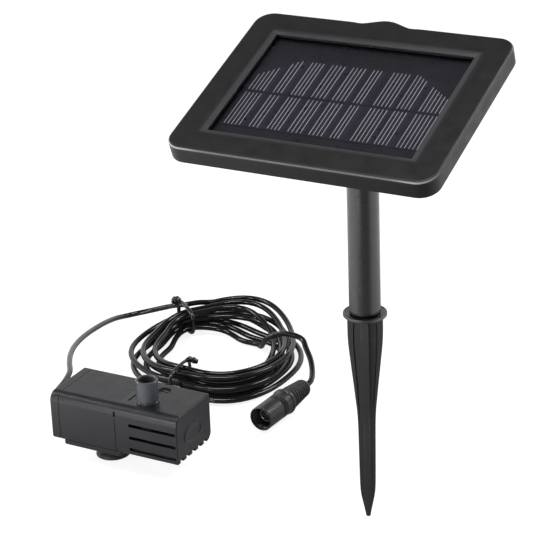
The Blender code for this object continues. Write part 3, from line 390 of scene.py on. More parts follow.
FERRITE = plastic("ferrite_moulded", (0.045, 0.045, 0.05), rough=0.42, grain=1500.0, bump=0.3,
                  mottle=0.2, wear=0.5)
IMPELLER_PLASTIC = plastic("impeller_plastic_grey", (0.42, 0.43, 0.44), rough=0.40,
                           grain=1200.0, bump=0.12, mottle=0.06, wear=0.2)
CERAMIC = plastic("ceramic_polished", (0.80, 0.78, 0.72), rough=0.16, grain=1500.0, bump=0.04,
                  mottle=0.03, wear=0.0, coat=0.3)
BUSH_PLASTIC = plastic("bush_plastic_tan", (0.55, 0.47, 0.34), rough=0.40, grain=1200.0,
                       bump=0.1, mottle=0.06, wear=0.1)
RED_WIRE = plastic("insulation_red", (0.36, 0.016, 0.014), rough=0.34, grain=700.0, bump=0.06,
                   mottle=0.08, wear=0.0)
BLACK_WIRE = plastic("insulation_black", (0.010, 0.010, 0.010), rough=0.34, grain=700.0,
                     bump=0.06, mottle=0.08, wear=0.0)
BOARD_GREEN = plastic("circuit_board_green", (0.012, 0.055, 0.030), rough=0.30, grain=600.0,
                      bump=0.08, mottle=0.18, wear=0.2)
CELL = cell_material()
SHEET = sheet_material()
SILVER = metal("printed_silver_fingers", (0.80, 0.72, 0.74), rough=0.42, metallic=0.10)

# ==========================================================================================
# building; shapes without a name and material are tools for cut() and join()
# ==========================================================================================
TOOL = "tool"


def make(name, bm, where, mat):
    bmesh.ops.recalc_face_normals(bm, faces=bm.faces[:])
    mesh = bpy.data.meshes.new(name)
    bm.to_mesh(mesh)
    bm.free()
    ob = bpy.data.objects.new(name, mesh)
    scene.collection.objects.link(ob)
    ob.matrix_world = where
    if mat is not None:
        mesh.materials.append(mat)
    return ob


def skin(bm, rings, closed=False):
    "joins neighbouring rings of vertices; a ring of one vertex makes a fan"
    for i in range(len(rings) if closed else len(rings)-1):
        a, b = rings[i], rings[(i+1) % len(rings)]
        count = max(len(a), len(b))
        for k in range(count):
            after = (k+1) % count
            if len(a) == 1:
                bm.faces.new((a[0], b[after], b[k]))
            elif len(b) == 1:
                bm.faces.new((a[k], a[after], b[0]))
            else:
                bm.faces.new((a[k], a[after], b[after], b[k]))


def loft(loops, where, name=TOOL, mat=None, closed=False):
    "joins loops of equal length; an open loft is capped at both ends"
    bm = bmesh.new()
    rings = [[bm.verts.new(Vector(p)*MM) for p in loop] for loop in loops]
    skin(bm, rings, closed)
    if not closed:
        bm.faces.new(rings[0][::-1])
        bm.faces.new(rings[-1])
    return make(name, bm, where, mat)


def soften(profile, radius, closed, steps):
    "rounds the corners of a profile"
    out = []
    count = len(profile)
    for i, point in enumerate(profile):
        if not closed and i in (0, count-1):
            out.append(point)
            continue
        corner = Vector(point)
        back, ahead = Vector(profile[i-1])-corner, Vector(profile[(i+1) % count])-corner
        angle = back.angle(ahead)
        if angle > math.radians(172):
            out.append(point)
            continue
        reach = min(radius/math.tan(angle/2), 0.42*back.length, 0.42*ahead.length)
        start, end = corner+back.normalized()*reach, corner+ahead.normalized()*reach
        for k in range(steps+1):
            s = k/steps
            q = start*(1-s)**2 + corner*2*s*(1-s) + end*s*s
            out.append((q.x, q.y))
    return out


def turned(profile, where, name=TOOL, mat=None, segs=96, ring=False, fillet=0.0, steps=4):
    "turns a profile of (radius, z) about local Z; a ring's profile closes on itself"
    if fillet > 0:
        profile = soften(profile, fillet, ring, steps)
    bm = bmesh.new()
    rings = []
    for r, z in profile:
        if r < 1e-6:
            rings.append([bm.verts.new((0, 0, z*MM))])
        else:
            rings.append([bm.verts.new((r*MM*math.cos(2*math.pi*i/segs),
                                        r*MM*math.sin(2*math.pi*i/segs), z*MM))
                          for i in range(segs)])
    skin(bm, rings, ring)
    return make(name, bm, where, mat)


def rod(radius, z0, z1, where, segs=72, xy=(0, 0)):
    bm = bmesh.new()
    low, high = ([bm.verts.new(((xy[0]+radius*math.cos(2*math.pi*i/segs))*MM,
                                (xy[1]+radius*math.sin(2*math.pi*i/segs))*MM, z*MM))
                  for i in range(segs)] for z in (z0, z1))
    skin(bm, [low, high])
    bm.faces.new(low[::-1])
    bm.faces.new(high)
    return make(TOOL, bm, where, None)


def plate(outline, z0, z1, where, name=TOOL, mat=None):
    return loft([[(x, y, z) for x, y in outline] for z in (z0, z1)], where, name, mat)


def block(size, centre, where, name=TOOL, mat=None):
    hx, hy, hz = (0.5*s for s in size)
    cx, cy, cz = centre
    outline = [(cx-hx, cy-hy), (cx+hx, cy-hy), (cx+hx, cy+hy), (cx-hx, cy+hy)]
    return plate(outline, cz-hz, cz+hz, where, name, mat)


def rounded(hx, hy, radii, steps=8, cx=0.0, cy=0.0):
    "rectangle of half sizes hx, hy with rounded corners, from (+x, -y) round to (-x, -y)"
    if not isinstance(radii, tuple):
        radii = (radii,)*4
    out = []
    corners = [(hx, -hy, -90), (hx, hy, 0), (-hx, hy, 90), (-hx, -hy, 180)]
    for (x, y, start), r in zip(corners, radii):
        ox = x - math.copysign(r, x)
        oy = y - math.copysign(r, y)
        for i in range(steps+1):
            a = math.radians(start + 90.0*i/steps)
            out.append((cx+ox+r*math.cos(a), cy+oy+r*math.sin(a)))
    return out


def sweep(points, radius, name, mat, sides=18, closed=False, where=WORLD):
    "round tube along points; radius is a number or a function of the share of the length"
    points = [Vector(p) for p in points]
    count = len(points)
    tangents = []
    for i in range(count):
        before = points[(i-1) % count] if (closed or i > 0) else points[i]
        after = points[(i+1) % count] if (closed or i < count-1) else points[i]
        tangents.append((after-before).normalized())
    reference = Vector((0, 0, 1)) if abs(tangents[0].z) < 0.9 else Vector((1, 0, 0))
    side = tangents[0].cross(reference).normalized()
    loops = []
    for i, (point, tangent) in enumerate(zip(points, tangents)):
        if i:
            side = side - tangent*side.dot(tangent)
            side.normalize()
        up = side.cross(tangent).normalized()
        r = radius(i/(count-1)) if callable(radius) else radius
        loops.append([point + side*r*math.cos(2*math.pi*k/sides)
                      + up*r*math.sin(2*math.pi*k/sides) for k in range(sides)])
    return loft(loops, where, name, mat, closed)


def spline(p0, p1, p2, p3, u):
    "Catmull-Rom value between p1 and p2"
    return 0.5*((2*p1) + (-p0+p2)*u + (2*p0-5*p1+4*p2-p3)*u*u + (-p0+3*p1-3*p2+p3)*u**3)


def curve(points, steps):
    "smooth line through the points"
    out = [points[0]]
    last = len(points)-1
    for i in range(last):
        around = [points[min(max(i+k, 0), last)] for k in (-1, 0, 1, 2)]
        for j in range(1, steps+1):
            out.append(tuple(spline(*values, j/steps) for values in zip(*around)))
    return out


def interpolate(table, x):
    "straight-line value in a table of (x, value)"
    if x <= table[0][0]:
        return table[0][1]
    for (x0, y0), (x1, y1) in zip(table, table[1:]):
        if x <= x1:
            return y0+(y1-y0)*(x-x0)/(x1-x0)
    return table[-1][1]


def bake(ob):
    "turns the modifiers into the object's own mesh"
    bpy.context.view_layer.update()
    depsgraph = bpy.context.evaluated_depsgraph_get()
    mesh = bpy.data.meshes.new_from_object(ob.evaluated_get(depsgraph))
    old = ob.data
    ob.modifiers.clear()
    ob.data = mesh
    bpy.data.meshes.remove(old)


def carve(ob, operation, tools):
    for tool in tools:
        modifier = ob.modifiers.new("bool", 'BOOLEAN')
        modifier.operation = operation
        modifier.solver = 'EXACT'
        modifier.object = tool
    bake(ob)
    for tool in tools:
        mesh = tool.data
        bpy.data.objects.remove(tool, do_unlink=True)
        bpy.data.meshes.remove(mesh)


def cut(ob, *tools):
    carve(ob, 'DIFFERENCE', tools)


def join(ob, *tools):
    carve(ob, 'UNION', tools)


def round_edges(ob, width, segs=2, angle=50):
    modifier = ob.modifiers.new("bevel", 'BEVEL')
    modifier.width = width*MM
    modifier.segments = segs
    modifier.limit_method = 'ANGLE'
    modifier.angle_limit = math.radians(angle)
    modifier.miter_outer = 'MITER_ARC'
    modifier.use_clamp_overlap = True
    bake(ob)


def tidy(ob, angle, weighted):
    "merges stray vertices and shades smooth, with edges over the angle kept sharp"
    bm = bmesh.new()
    bm.from_mesh(ob.data)
    bmesh.ops.remove_doubles(bm, verts=bm.verts[:], dist=1e-7)
    bmesh.ops.dissolve_degenerate(bm, edges=bm.edges[:], dist=1e-7)
    limit = math.radians(angle)
    for face in bm.faces:
        face.smooth = True
    for edge in bm.edges:
        edge.smooth = not (len(edge.link_faces) == 2 and edge.calc_face_angle(0) > limit)
    bm.to_mesh(ob.data)
    bm.free()
    if weighted:
        modifier = ob.modifiers.new("normals", 'WEIGHTED_NORMAL')
        modifier.keep_sharp = True
        modifier.weight = 80


BODY_OF = {node: body for body, nodes in frame["record"]["behaviour"]["bodies"].items()
           for node in nodes}


def put(ob, node=None, body=None, angle=34.0, weighted=True):
    "finishes a piece and hands it over, in place of a frame node if one is given"
    tidy(ob, angle, weighted)
    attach(ob, body or BODY_OF[node])
    if node:
        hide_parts(node)


def put_turned(node, name, profile, where, mat, angle=34.0, **shape):
    put(turned(profile, where, name, mat, **shape), node, angle=angle)


# ==========================================================================================
# ground stake: a cross of four lipped ribs, and the flange on top
# ==========================================================================================
# z, width across the ribs
STAKE_WIDTHS = [
    (0.0, 2.9), (2.0, 3.2), (5.2, 4.4), (7.3, 5.2), (10.8, 6.7), (14.5, 8.3), (17.9, 9.3),
    (24.0, 9.7), (31.9, 9.95), (45.8, 10.25), (59.6, 10.55), (66.4, 10.8), (73.2, 11.4),
    (80.0, 12.8), (86.8, 14.1), (93.5, 15.5), (100.2, 17.0), (106.9, 18.3), (113.5, 19.8),
    (120.0, 20.9), (126.7, 21.3), (137.0, 21.3)]
STAKE_LEVELS = [0.0, 0.25, 0.8, 2.0, 3.5, 5.0, 7.0, 9.0, 11.0, 13.0, 15.0, 17.0, 19.0, 22.0,
                26.0, 32.0, 40.0, 48.0, 56.0, 60.0] + [60.0+2.0*i for i in range(1, 39)] + [136.7]
TIP_Z = 0.8                 # the tip is chamfered below this


def stake_width(z):
    "width at z, averaged over a few heights above the point"
    if z < 4:
        return interpolate(STAKE_WIDTHS, z)
    return sum(interpolate(STAKE_WIDTHS, z+k) for k in (-3.0, -1.5, 0.0, 1.5, 3.0))/5


def stake_section(z):
    outer = 0.5*stake_width(z)
    if z < TIP_Z:
        outer -= (TIP_Z-z)*0.45
    spread = min(1.0, max(0.0, (z-62.0)/20.0))         # the lips grow out from z = 62 to 82
    web = min(1.15, 0.5*outer)                         # half thickness of a rib
    lip = web + 1.15*spread                            # half width of its outer lip
    lip_depth = 0.55 + 3.3*max(0.0, (z-60.0)/77.0)
    inner = max(outer-lip_depth, web+0.45)
    root = min(web+0.9, inner-0.2)
    edge = min(0.28, 0.3*web)
    neck = inner-0.12-0.5*spread*0.9
    valley = 0.72*root+0.1
    arm = [(root, -web), (neck, -web), (inner, -lip), (outer-edge, -lip),
           (outer-0.3*edge, -lip+0.3*edge), (outer, -lip+edge), (outer, lip-edge),
           (outer-0.3*edge, lip-0.3*edge), (outer-edge, lip), (inner, lip), (neck, web),
           (root, web), (valley, valley)]
    loop = []
    for k in range(4):
        c, s = math.cos(k*math.pi/2), math.sin(k*math.pi/2)
        loop += [(x*c-y*s, x*s+y*c, z) for x, y in arm]
    return loop


put(loft([stake_section(z) for z in STAKE_LEVELS],
         Matrix.Rotation(math.radians(22.5), 4, 'Z'), "stake_ribs", STAKE_PLASTIC),
    body="stake", angle=30)

# radius, height over the stake's top
FLANGE = [(0, 26.1), (6.9, 26.1), (7.7, 24.7), (7.7, 0.1), (8.2, -0.45), (11.9, -0.35),
          (12.5, 0), (13.25, -0.15), (13.25, -1.9), (12.75, -2.4), (10.9, -2.4),
          (10.4, -3.0), (4.0, -3.0), (0, -3.0)]
put_turned("ground_stake", "stake_flange", [(r, STAKE_TOP+z) for r, z in FLANGE], WORLD,
           STAKE_PLASTIC, fillet=0.35)

# ==========================================================================================
# post
# ==========================================================================================
TUBE_BOTTOM = STAKE_TOP+0.3
put_turned("post_tube", "post_tube_painted",
           [(8.0, TUBE_TOP), (TUBE_R, TUBE_TOP), (TUBE_R, TUBE_BOTTOM), (8.0, TUBE_BOTTOM)],
           WORLD, TUBE_PAINT, segs=128, ring=True, fillet=0.35, steps=5)

# radius, height over the tube's top
HEAD = [(0, 4.2), (8.3, 4.2), (TUBE_R, 3.0), (TUBE_R, 0.3), (7.7, 0.3), (7.7, -17.4),
        (7.0, -18.4), (0, -18.4)]
PIVOT_HOLE_R = 2.8
head = turned([(r, TUBE_TOP+z) for r, z in HEAD], WORLD, "post_head_tongue", STAKE_PLASTIC,
              fillet=0.4)
join(head, rod(7.0, -3.0, 3.0, TILT_AXLE),
     block((6.0, 14.0, PIVOT.z-TUBE_TOP-3.6), (0, 0, 0.5*(PIVOT.z+TUBE_TOP+3.6)), WORLD))
cut(head, rod(PIVOT_HOLE_R, -5.0, 5.0, TILT_AXLE))
round_edges(head, 0.35)
put(head, "post_head")

# ==========================================================================================
# panel
# ==========================================================================================
CORNER_STEPS, EDGE_STEPS = 12, 48
HUMP_REACH = 17.5           # half length of the swelling
HALF_W, HALF_D = PANEL_W/2, PANEL_D/2
FILLET = 1.7                # upper outside edge


def hump_rise(x, hump):
    "the swelling in the middle of the upper edge, with a slight dip at each foot"
    swell = 0.0
    if abs(x) < HUMP_REACH:
        swell = hump*((0.5*(1+math.cos(math.pi*x/HUMP_REACH)))**1.15)
    return swell - 0.5*math.exp(-((abs(x)-16.0)/3.5)**2)


def bezel_loop(hx, hy, radius, z, hump=0.0):
    "rounded rectangle with the same number of points whatever its radius"
    outline = rounded(hx, hy, radius, CORNER_STEPS)
    size = CORNER_STEPS+1
    arcs = [outline[k*size:(k+1)*size] for k in range(4)]
    out = []
    for k in range(4):
        out += arcs[k]
        start, end = Vector(arcs[k][-1]), Vector(arcs[(k+1) % 4][0])
        for j in range(1, EDGE_STEPS):
            x, y = start.lerp(end, j/EDGE_STEPS)
            if k == 1 and hump > 0:
                y += hump_rise(x, hump)
            out.append((x, y))
    return [(x, y, z) for x, y in out]


def bezel_side(inset, z, hump=0.0):
    return bezel_loop(HALF_W-inset, HALF_D-inset, PANEL_R-inset, z, hump)


# each row: added half width, added half depth, corner radius, z
LIP_STEPS = [(4.0, 4.0, 3.2, 0.0), (0.45, 0.45, 1.6, 0.0), (0.14, 0.12, 1.3, -0.03),
             (-0.12, -0.10, 1.1, -0.07)]
WINDOW_STEPS = [(0.50, 0.42, 0.7, -0.86), (0.16, 0.14, 0.5, -0.95), (0, 0, 0.45, -1.12),
                (0, 0, 0.45, -2.95)]
LIP_HALF = (WINDOW_W/2+5.7, WINDOW_D/2+3.8)
WINDOW_HALF = (WINDOW_W/2, WINDOW_D/2)

loops = [bezel_side(inset, z, HUMP) for inset, z in
         ((0.55, -PANEL_T), (0.16, -PANEL_T+0.16), (0.0, -PANEL_T+0.55), (0.0, -6.0))]
for k in range(9):
    a = math.radians(90*k/8)
    loops.append(bezel_side(FILLET*(1-math.cos(a)), -FILLET+FILLET*math.sin(a), HUMP))
loops.append(bezel_side(FILLET+1.0, 0.0, HUMP*0.9))
for (half_w, half_d), rows in ((LIP_HALF, LIP_STEPS), (WINDOW_HALF, WINDOW_STEPS)):
    loops += [bezel_loop(half_w+dx, half_d+dy, radius, z) for dx, dy, radius, z in rows]
loops += [bezel_side(WALL, -2.95), bezel_side(WALL, -PANEL_T)]
put(loft(loops, PANEL, "panel_bezel_moulded", FRAME_PLASTIC, closed=True), "panel_bezel")

SHEET_OUTLINE = rounded(66.3, 49.3, 1.2, 3)
put(plate(SHEET_OUTLINE, -3.75, -3.35, PANEL, "clear_sheet_laminate", SHEET),
    "clear_sheet", weighted=False)
put(plate(SHEET_OUTLINE, -7.0, -5.25, PANEL, "backing_board_black", LAMINATE),
    "backing_board", weighted=False)

# finger groups: u of the first line, number of lines, pitch
FINGER_GROUPS = [(-59.0, 5, 2.42), (-42.9, 3, 2.52), (-31.4, 4, 2.38), (-18.4, 4, 2.60),
                 (-5.2, 4, 2.52), (8.0, 3, 2.30), (20.5, 5, 2.42), (34.9, 4, 2.36),
                 (48.2, 6, 2.42)]
CELL_L, CELL_R = -60.3, 60.9
CHAMFER_L, CHAMFER_R = 21.5, 24.5       # lengths of the upper row's cut corners along u
CELL_Z = (-4.80, -5.15)                 # top, bottom
FINGER_Z = (-4.79, -4.755)              # bottom, top
FINGER_HALF_W = 0.22
BASE, DARK = (0.0150, 0.0120, 0.0215), (0.0085, 0.0075, 0.0130)
VIOLET, GAP = (0.0240, 0.0190, 0.0470), (0.0030, 0.0028, 0.0045)


def cell_bands():
    "(u0, u1, colour) stripes: a gap, the finger group, then violet and dark if there is room"
    bands = []
    for i, (first, count, pitch) in enumerate(FINGER_GROUPS):
        start = first-1.2
        end = first+(count-1)*pitch
        if i < len(FINGER_GROUPS)-1:
            following = FINGER_GROUPS[i+1][0]-1.2
        else:
            following = CELL_R
        bands += [(start-0.30, start+0.05, GAP), (start+0.05, end+0.9, BASE)]
        if following-end > 3.0:
            split = end+0.9+0.42*(following-0.3-(end+0.9))
            bands += [(end+0.9, split, VIOLET), (split, following-0.3, DARK)]
        else:
            bands += [(end+0.9, following-0.3, BASE)]
    return bands


BANDS = cell_bands()


def band_colour(u):
    return next((colour for u0, u1, colour in BANDS if u0 <= u <= u1), DARK)


def cell_stations():
    "u of every cut across the cells, with near duplicates dropped"
    ends = {round(min(CELL_R, max(CELL_L, u)), 3) for band in BANDS for u in band[:2]}
    corners = {round(u, 3) for u in (CELL_L, CELL_R, CELL_L+CHAMFER_L, CELL_R-CHAMFER_R)}
    steps = {round(CELL_L+i*2.0, 3) for i in range(61)}
    every = sorted(ends | corners | steps)
    return [u for k, u in enumerate(every) if k == 0 or u-every[k-1] > 0.02]


def cell_top(u, v1, chamfered):
    if chamfered and u < CELL_L+CHAMFER_L:
        return v1-17.0*(1-(u-CELL_L)/CHAMFER_L)
    if chamfered and u > CELL_R-CHAMFER_R:
        return v1-17.5*(u-(CELL_R-CHAMFER_R))/CHAMFER_R
    return v1


def cell_row(node, v0, v1, chamfered):
    stations = cell_stations()
    bm = bmesh.new()
    layer = bm.loops.layers.float_color.new("band")
    top, bottom = ([(bm.verts.new((u*MM, v0*MM, z*MM)),
                     bm.verts.new((u*MM, cell_top(u, v1, chamfered)*MM, z*MM)))
                    for u in stations] for z in CELL_Z)

    def face(corners, colour):
        for corner in bm.faces.new(corners).loops:
            corner[layer] = (*colour, 1.0)

    for i in range(len(stations)-1):
        (a, b), (c, d) = top[i], top[i+1]
        (e, f), (g, h) = bottom[i], bottom[i+1]
        colour = band_colour(0.5*(stations[i]+stations[i+1]))
        for corners in ((a, c, d, b), (e, f, h, g), (a, e, g, c), (b, d, h, f)):
            face(corners, colour)
    for i in (0, -1):
        face((top[i][0], top[i][1], bottom[i][1], bottom[i][0]), DARK)
    put(make(node+"_bands", bm, PANEL, CELL), node, weighted=False)


BOX_FACES = ((0, 3, 2, 1), (4, 5, 6, 7), (0, 1, 5, 4), (1, 2, 6, 5), (2, 3, 7, 6), (3, 0, 4, 7))


def cell_fingers(node, v0, v1, chamfered):
    "the printed lines, each a thin bar up the slope"
    bm = bmesh.new()
    for first, count, pitch in FINGER_GROUPS:
        for k in range(count):
            u = first+k*pitch
            u0, u1 = u-FINGER_HALF_W, u+FINGER_HALF_W
            low, high = v0+0.9, cell_top(u, v1, chamfered)-0.5
            corners = [bm.verts.new((x*MM, y*MM, z*MM)) for z in FINGER_Z
                       for x, y in ((u0, low), (u1, low), (u1, high), (u0, high))]
            for indices in BOX_FACES:
                bm.faces.new([corners[j] for j in indices])
    put(make(node+"_bands_fingers", bm, PANEL, SILVER), body="panel_head",
        weighted=False)


for row in (("cell_row_lower", -34.6, -4.2, False), ("cell_row_upper", -3.0, 28.6, True)):
    cell_row(*row)
    cell_fingers(*row)

# back cover with two pivot ears and a socket box
COVER_INSET = WALL+0.3
COVER_SCREWS = [(sx*74.0, sy*56.5) for sx, sy in ((1, 1), (-1, 1), (-1, -1), (1, -1))]
BOX_V = 51.0
EAR_R = 6.6
ear_arc = [math.radians(180+180*i/32) for i in range(33)]
EAR = ([(PIVOT_V-11.0, -10.2)]
       + [(PIVOT_V+EAR_R*math.cos(a), PIVOT_N+EAR_R*math.sin(a)) for a in ear_arc]
       + [(PIVOT_V+11.0, -10.2)])


def ear(u0, u1):
    return loft([[(u, v, n) for v, n in EAR] for u in (u0, u1)], PANEL)


cover = plate(rounded(HALF_W-WALL-0.3, HALF_D-WALL-0.3, PANEL_R-WALL-0.3, 10), -PANEL_T, -9.3,
              PANEL, "back_cover_moulded", FRAME_PLASTIC)
join(cover, ear(PIVOT_U-6.8, PIVOT_U-3.3), ear(PIVOT_U+3.3, PIVOT_U+6.8),
     block((22.0, 21.0, 14.0), (0, BOX_V, -17.6), PANEL))
cut(cover, block((18.0, 17.0, 16.2), (0, BOX_V, -14.7), PANEL),
    rod(PIVOT_HOLE_R, -9.0, 9.0, TILT_AXLE))
cut(cover, rod(4.0, -4.0, 4.0, SOCKET))
for place in COVER_SCREWS:
    cut(cover, rod(1.8, -13.0, -8.0, PANEL, segs=32, xy=place))
round_edges(cover, 0.45, segs=3)
put(cover, "back_cover")

# radius, z
SCREW = [(0, -3.9), (1.5, -3.9), (1.5, -PANEL_T-0.3), (2.9, -PANEL_T-0.3),
         (2.9, -PANEL_T-1.2), (2.1, -PANEL_T-1.9), (0, -PANEL_T-1.9)]
for k, (u, v) in enumerate(COVER_SCREWS, 1):
    where = frame_at(on_panel(u, v, 0), rx=TILT)
    screw = turned(SCREW, where, "cover_screw_head_%d" % k, STEEL, segs=48, fillet=0.15)
    cut(screw, *(block(size, (0, 0, -PANEL_T-1.9), where)
                 for size in ((3.2, 0.6, 1.4), (0.6, 3.2, 1.4))))
    put(screw, "cover_screw_%d" % k)

put_turned("dc_socket_shell", "dc_socket_skirt",
           [(5.75, 11.0), (6.8, 11.0), (7.05, 10.7), (7.05, -0.2), (3.7, -0.2), (3.7, -10.0),
            (1.8, -10.0), (1.8, 10.6), (3.8, 10.6), (3.8, 1.6), (5.75, 1.6)],
           SOCKET, STAKE_PLASTIC, segs=72, ring=True, fillet=0.2)
put_turned("dc_socket_contact", "dc_socket_tube",
           [(1.15, 10.0), (1.6, 10.0), (1.6, -11.0), (1.15, -11.0)],
           SOCKET, STEEL, segs=36, ring=True, fillet=0.1)

# the two leads mirror each other: u, v, n
LEAD = [(9.0, 22.0, -8.1), (8.5, 34.0, -8.1), (7.5, 43.5, -8.2), (6.6, 46.2, -9.6),
        (5.6, 48.2, -13.0), (3.2, 49.6, -17.0)]
for node, side, mat in (("positive_lead", 1, RED_WIRE), ("negative_lead", -1, BLACK_WIRE)):
    points = [(side*u, v, n) for u, v, n in LEAD]
    put(sweep(curve(points, 8), 0.6, node+"_wire", mat, sides=12, where=PANEL), node)

put_turned("tilt_bolt", "tilt_bolt_head",
           [(0, 15.2), (2.1, 15.2), (2.5, 14.8), (2.5, -7.1), (4.4, -7.1), (4.6, -7.5),
            (4.6, -10.2), (4.2, -10.6), (0, -10.6)], TILT_AXLE, STEEL, segs=72, fillet=0.2)
knob = turned([(0, 16.4), (5.4, 16.4), (6.0, 15.8), (6.4, 7.6), (6.2, 7.1), (0, 7.1)],
              TILT_AXLE, "tilt_knob_winged", STAKE_PLASTIC, fillet=0.3)
wing = block((8.0, 17.6, 3.2), (0, 0, 11.8), TILT_AXLE)
round_edges(wing, 1.3, segs=5)
join(knob, wing)
cut(knob, rod(PIVOT_HOLE_R, 6.0, 15.5, TILT_AXLE))
round_edges(knob, 0.25)
put(knob, "tilt_knob")

# ==========================================================================================
# pump
# ==========================================================================================
# corner radius and its least value, from (+y, bottom) round to (-y, bottom)
PUMP_CORNERS = [(6.0, 0.6), (1.6, 0.5), (6.5, 0.8), (1.3, 0.5)]
END_STEPS = 7


def pump_outline(inset):
    return rounded(PUMP_W/2-inset, PUMP_H/2-inset,
                   tuple(max(radius-inset, least) for radius, least in PUMP_CORNERS),
                   10, PUMP_Y, 0.5*(PUMP_Z0+PUMP_Z1))


def pump_body(name, x0, x1, round0, round1):
    "rounded body from x0 to x1, its two ends rounded by round0 and round1"
    loops = []
    angles = [math.radians(90.0*k/END_STEPS) for k in range(END_STEPS+1)]
    for a in reversed(angles):
        x = x0+round0*(1-math.sin(a))
        loops.append([(y, z, x) for y, z in pump_outline(round0*(1-math.cos(a)))])
    for a in angles:
        x = x1-round1*(1-math.sin(a))
        loops.append([(y, z, x) for y, z in pump_outline(round1*(1-math.cos(a)))])
    return loft(loops, PUMP_SECTION, name, PUMP_PLASTIC)


def cut_seam(shell):
    "a groove down each side at the seam, and a small notch high on the -Y side"
    for side in (-1, 1):
        cut(shell, block((0.62, 1.1, PUMP_H-9.5),
                         (SEAM_X, PUMP_Y+side*PUMP_W/2, 0.5*(PUMP_Z0+PUMP_Z1-9.5)+0.5), WORLD))
    cut(shell, block((1.5, 2.4, 3.4), (SEAM_X, PUMP_Y-PUMP_W/2+0.35, PUMP_Z1-5.9), WORLD))


def nozzle_tongue(half_width, x0):
    "outline from x0 to a round end about the nozzle, towards +X"
    arc = [math.radians(-90+180*i/36) for i in range(37)]
    return ([(x0, NOZZLE_Y-half_width)]
            + [(NOZZLE_X+half_width*math.cos(a), NOZZLE_Y+half_width*math.sin(a)) for a in arc]
            + [(x0, NOZZLE_Y+half_width)])


AXLE_HOLE_R = 1.5
housing = pump_body("motor_housing_shell", CAP_X+0.10, SEAM_X-0.02, 0.35, 0.02)
cut(housing, plate(pump_outline(2.2), CAP_X-1.0, SEAM_X-6.2, PUMP_SECTION))
join(housing, rod(9.0, -208.2, SEAM_X-5.0, PUMP_AXLE))
cut(housing, rod(7.5, -203.2, SEAM_X+2, PUMP_AXLE),
    rod(AXLE_HOLE_R, -207.0, -202.0, PUMP_AXLE, segs=32))
cut(housing, turned([(13.3, SEAM_X+1), (13.3, SEAM_X-1.65), (11.3, SEAM_X-1.65),
                     (11.3, SEAM_X+1)], PUMP_AXLE, ring=True))
cut_seam(housing)
put(housing, "motor_housing", angle=38)

rear_cap = pump_body("rear_cap_shell", REAR_X, CAP_X-0.10, 1.9, 0.35)
cut(rear_cap, block((6.0, PUMP_W-9.0, PUMP_H-9.0), (CAP_X-1.6, PUMP_Y, AXLE_Z), WORLD))
cut(rear_cap, rod(4.3, REAR_X-1, CAP_X, PUMP_AXLE))
put(rear_cap, "rear_cap", angle=38)

# profiles about the pump's axle: radius, world x
GROMMET = [(2.3, -219.9), (5.4, -219.9), (5.4, -220.3), (4.0, -220.9), (4.0, -224.3),
           (5.2, -224.3), (5.1, -225.4), (4.4, -225.9), (4.4, -226.6), (4.9, -227.0),
           (4.7, -228.0), (4.0, -228.4), (4.0, -229.1), (4.3, -229.5), (3.8, -231.2),
           (3.3, -231.6), (2.3, -231.6)]
put_turned("cable_grommet", "cable_grommet_ribbed", GROMMET, PUMP_AXLE, RUBBER, segs=72,
           ring=True, fillet=0.2)

# inside of the motor
put_turned("stator_core", "stator_core_stack",
           [(9.4, -187.4), (13.1, -187.4), (13.1, -198.9), (9.4, -198.9)],
           PUMP_AXLE, CORE_STEEL, ring=True, fillet=0.2)
for node, middle in (("stator_winding_front", -183.9), ("stator_winding_rear", -202.4)):
    profile = [(9.5, middle+2.2)]
    for i in range(7):
        x = middle+2.9-6.0*i/6
        if i in (0, 6):
            profile.append((11.6, x))
        else:
            profile += [(12.45, x+0.42), (12.8, x), (12.45, x-0.42)]
    profile.append((9.5, middle-2.4))
    put_turned(node, node+"_coil", profile, PUMP_AXLE, COPPER, angle=60, ring=True)
board = block((1.4, 34.0, 22.0), (-210.6, PUMP_Y, AXLE_Z), WORLD, "driver_board_pcb",
              BOARD_GREEN)
round_edges(board, 0.2, angle=40)
put(board, "driver_board")
put_turned("rotor_shaft", "rotor_shaft_polished",
           [(0, -155.6), (1.2, -155.6), (1.2, -206.6), (0, -206.6)],
           PUMP_AXLE, CERAMIC, segs=48, fillet=0.25)

# volute cover with the outlet nozzle
volute = turned([(11.4, SEAM_X+0.15), (13.3, SEAM_X+0.15), (13.3, -150.8), (12.2, -149.7),
                 (4.5, -149.7), (4.5, -151.7), (11.4, -151.7)],
                PUMP_AXLE, "volute_cover_nozzle", NOZZLE_PLASTIC, ring=True)
NECK = [(0, NOZZLE_TOP), (6.9, NOZZLE_TOP), (7.4, NOZZLE_TOP-0.6), (7.4, PUMP_Z1+1.5),
        (7.25, PUMP_Z1+1.25), (7.62, PUMP_Z1+0.9), (7.62, PUMP_Z1-2.0), (7.4, AXLE_Z+10.4),
        (0, AXLE_Z+10.4)]
BORE = [(0, NOZZLE_TOP+1), (6.05, NOZZLE_TOP+1), (6.05, NOZZLE_TOP+0.1),
        (5.5, NOZZLE_TOP-0.7), (5.5, AXLE_Z+8.0), (0, AXLE_Z+8.0)]
TONGUE_HALF_W = 8.72
join(volute, plate(nozzle_tongue(TONGUE_HALF_W, SEAM_X+0.05), PUMP_Z1-2.0, PUMP_Z1-0.01, WORLD))
join(volute, turned(NECK, NOZZLE, fillet=0.3))
cut(volute, turned(BORE, NOZZLE, fillet=0.2))
cut(volute, block((1.2, 10.5, 3.0), (-169.0, NOZZLE_Y+0.6, PUMP_Z1), WORLD))
put(volute, "volute_cover", angle=36)

ring_angles = [2*math.pi*i/72 for i in range(72)]
put(sweep([(SEAM_X-0.75, PUMP_Y+12.3*math.cos(a), AXLE_Z+12.3*math.sin(a))
           for a in ring_angles], 0.72, "volute_o_ring_seal", RUBBER, sides=14, closed=True),
    "volute_o_ring")

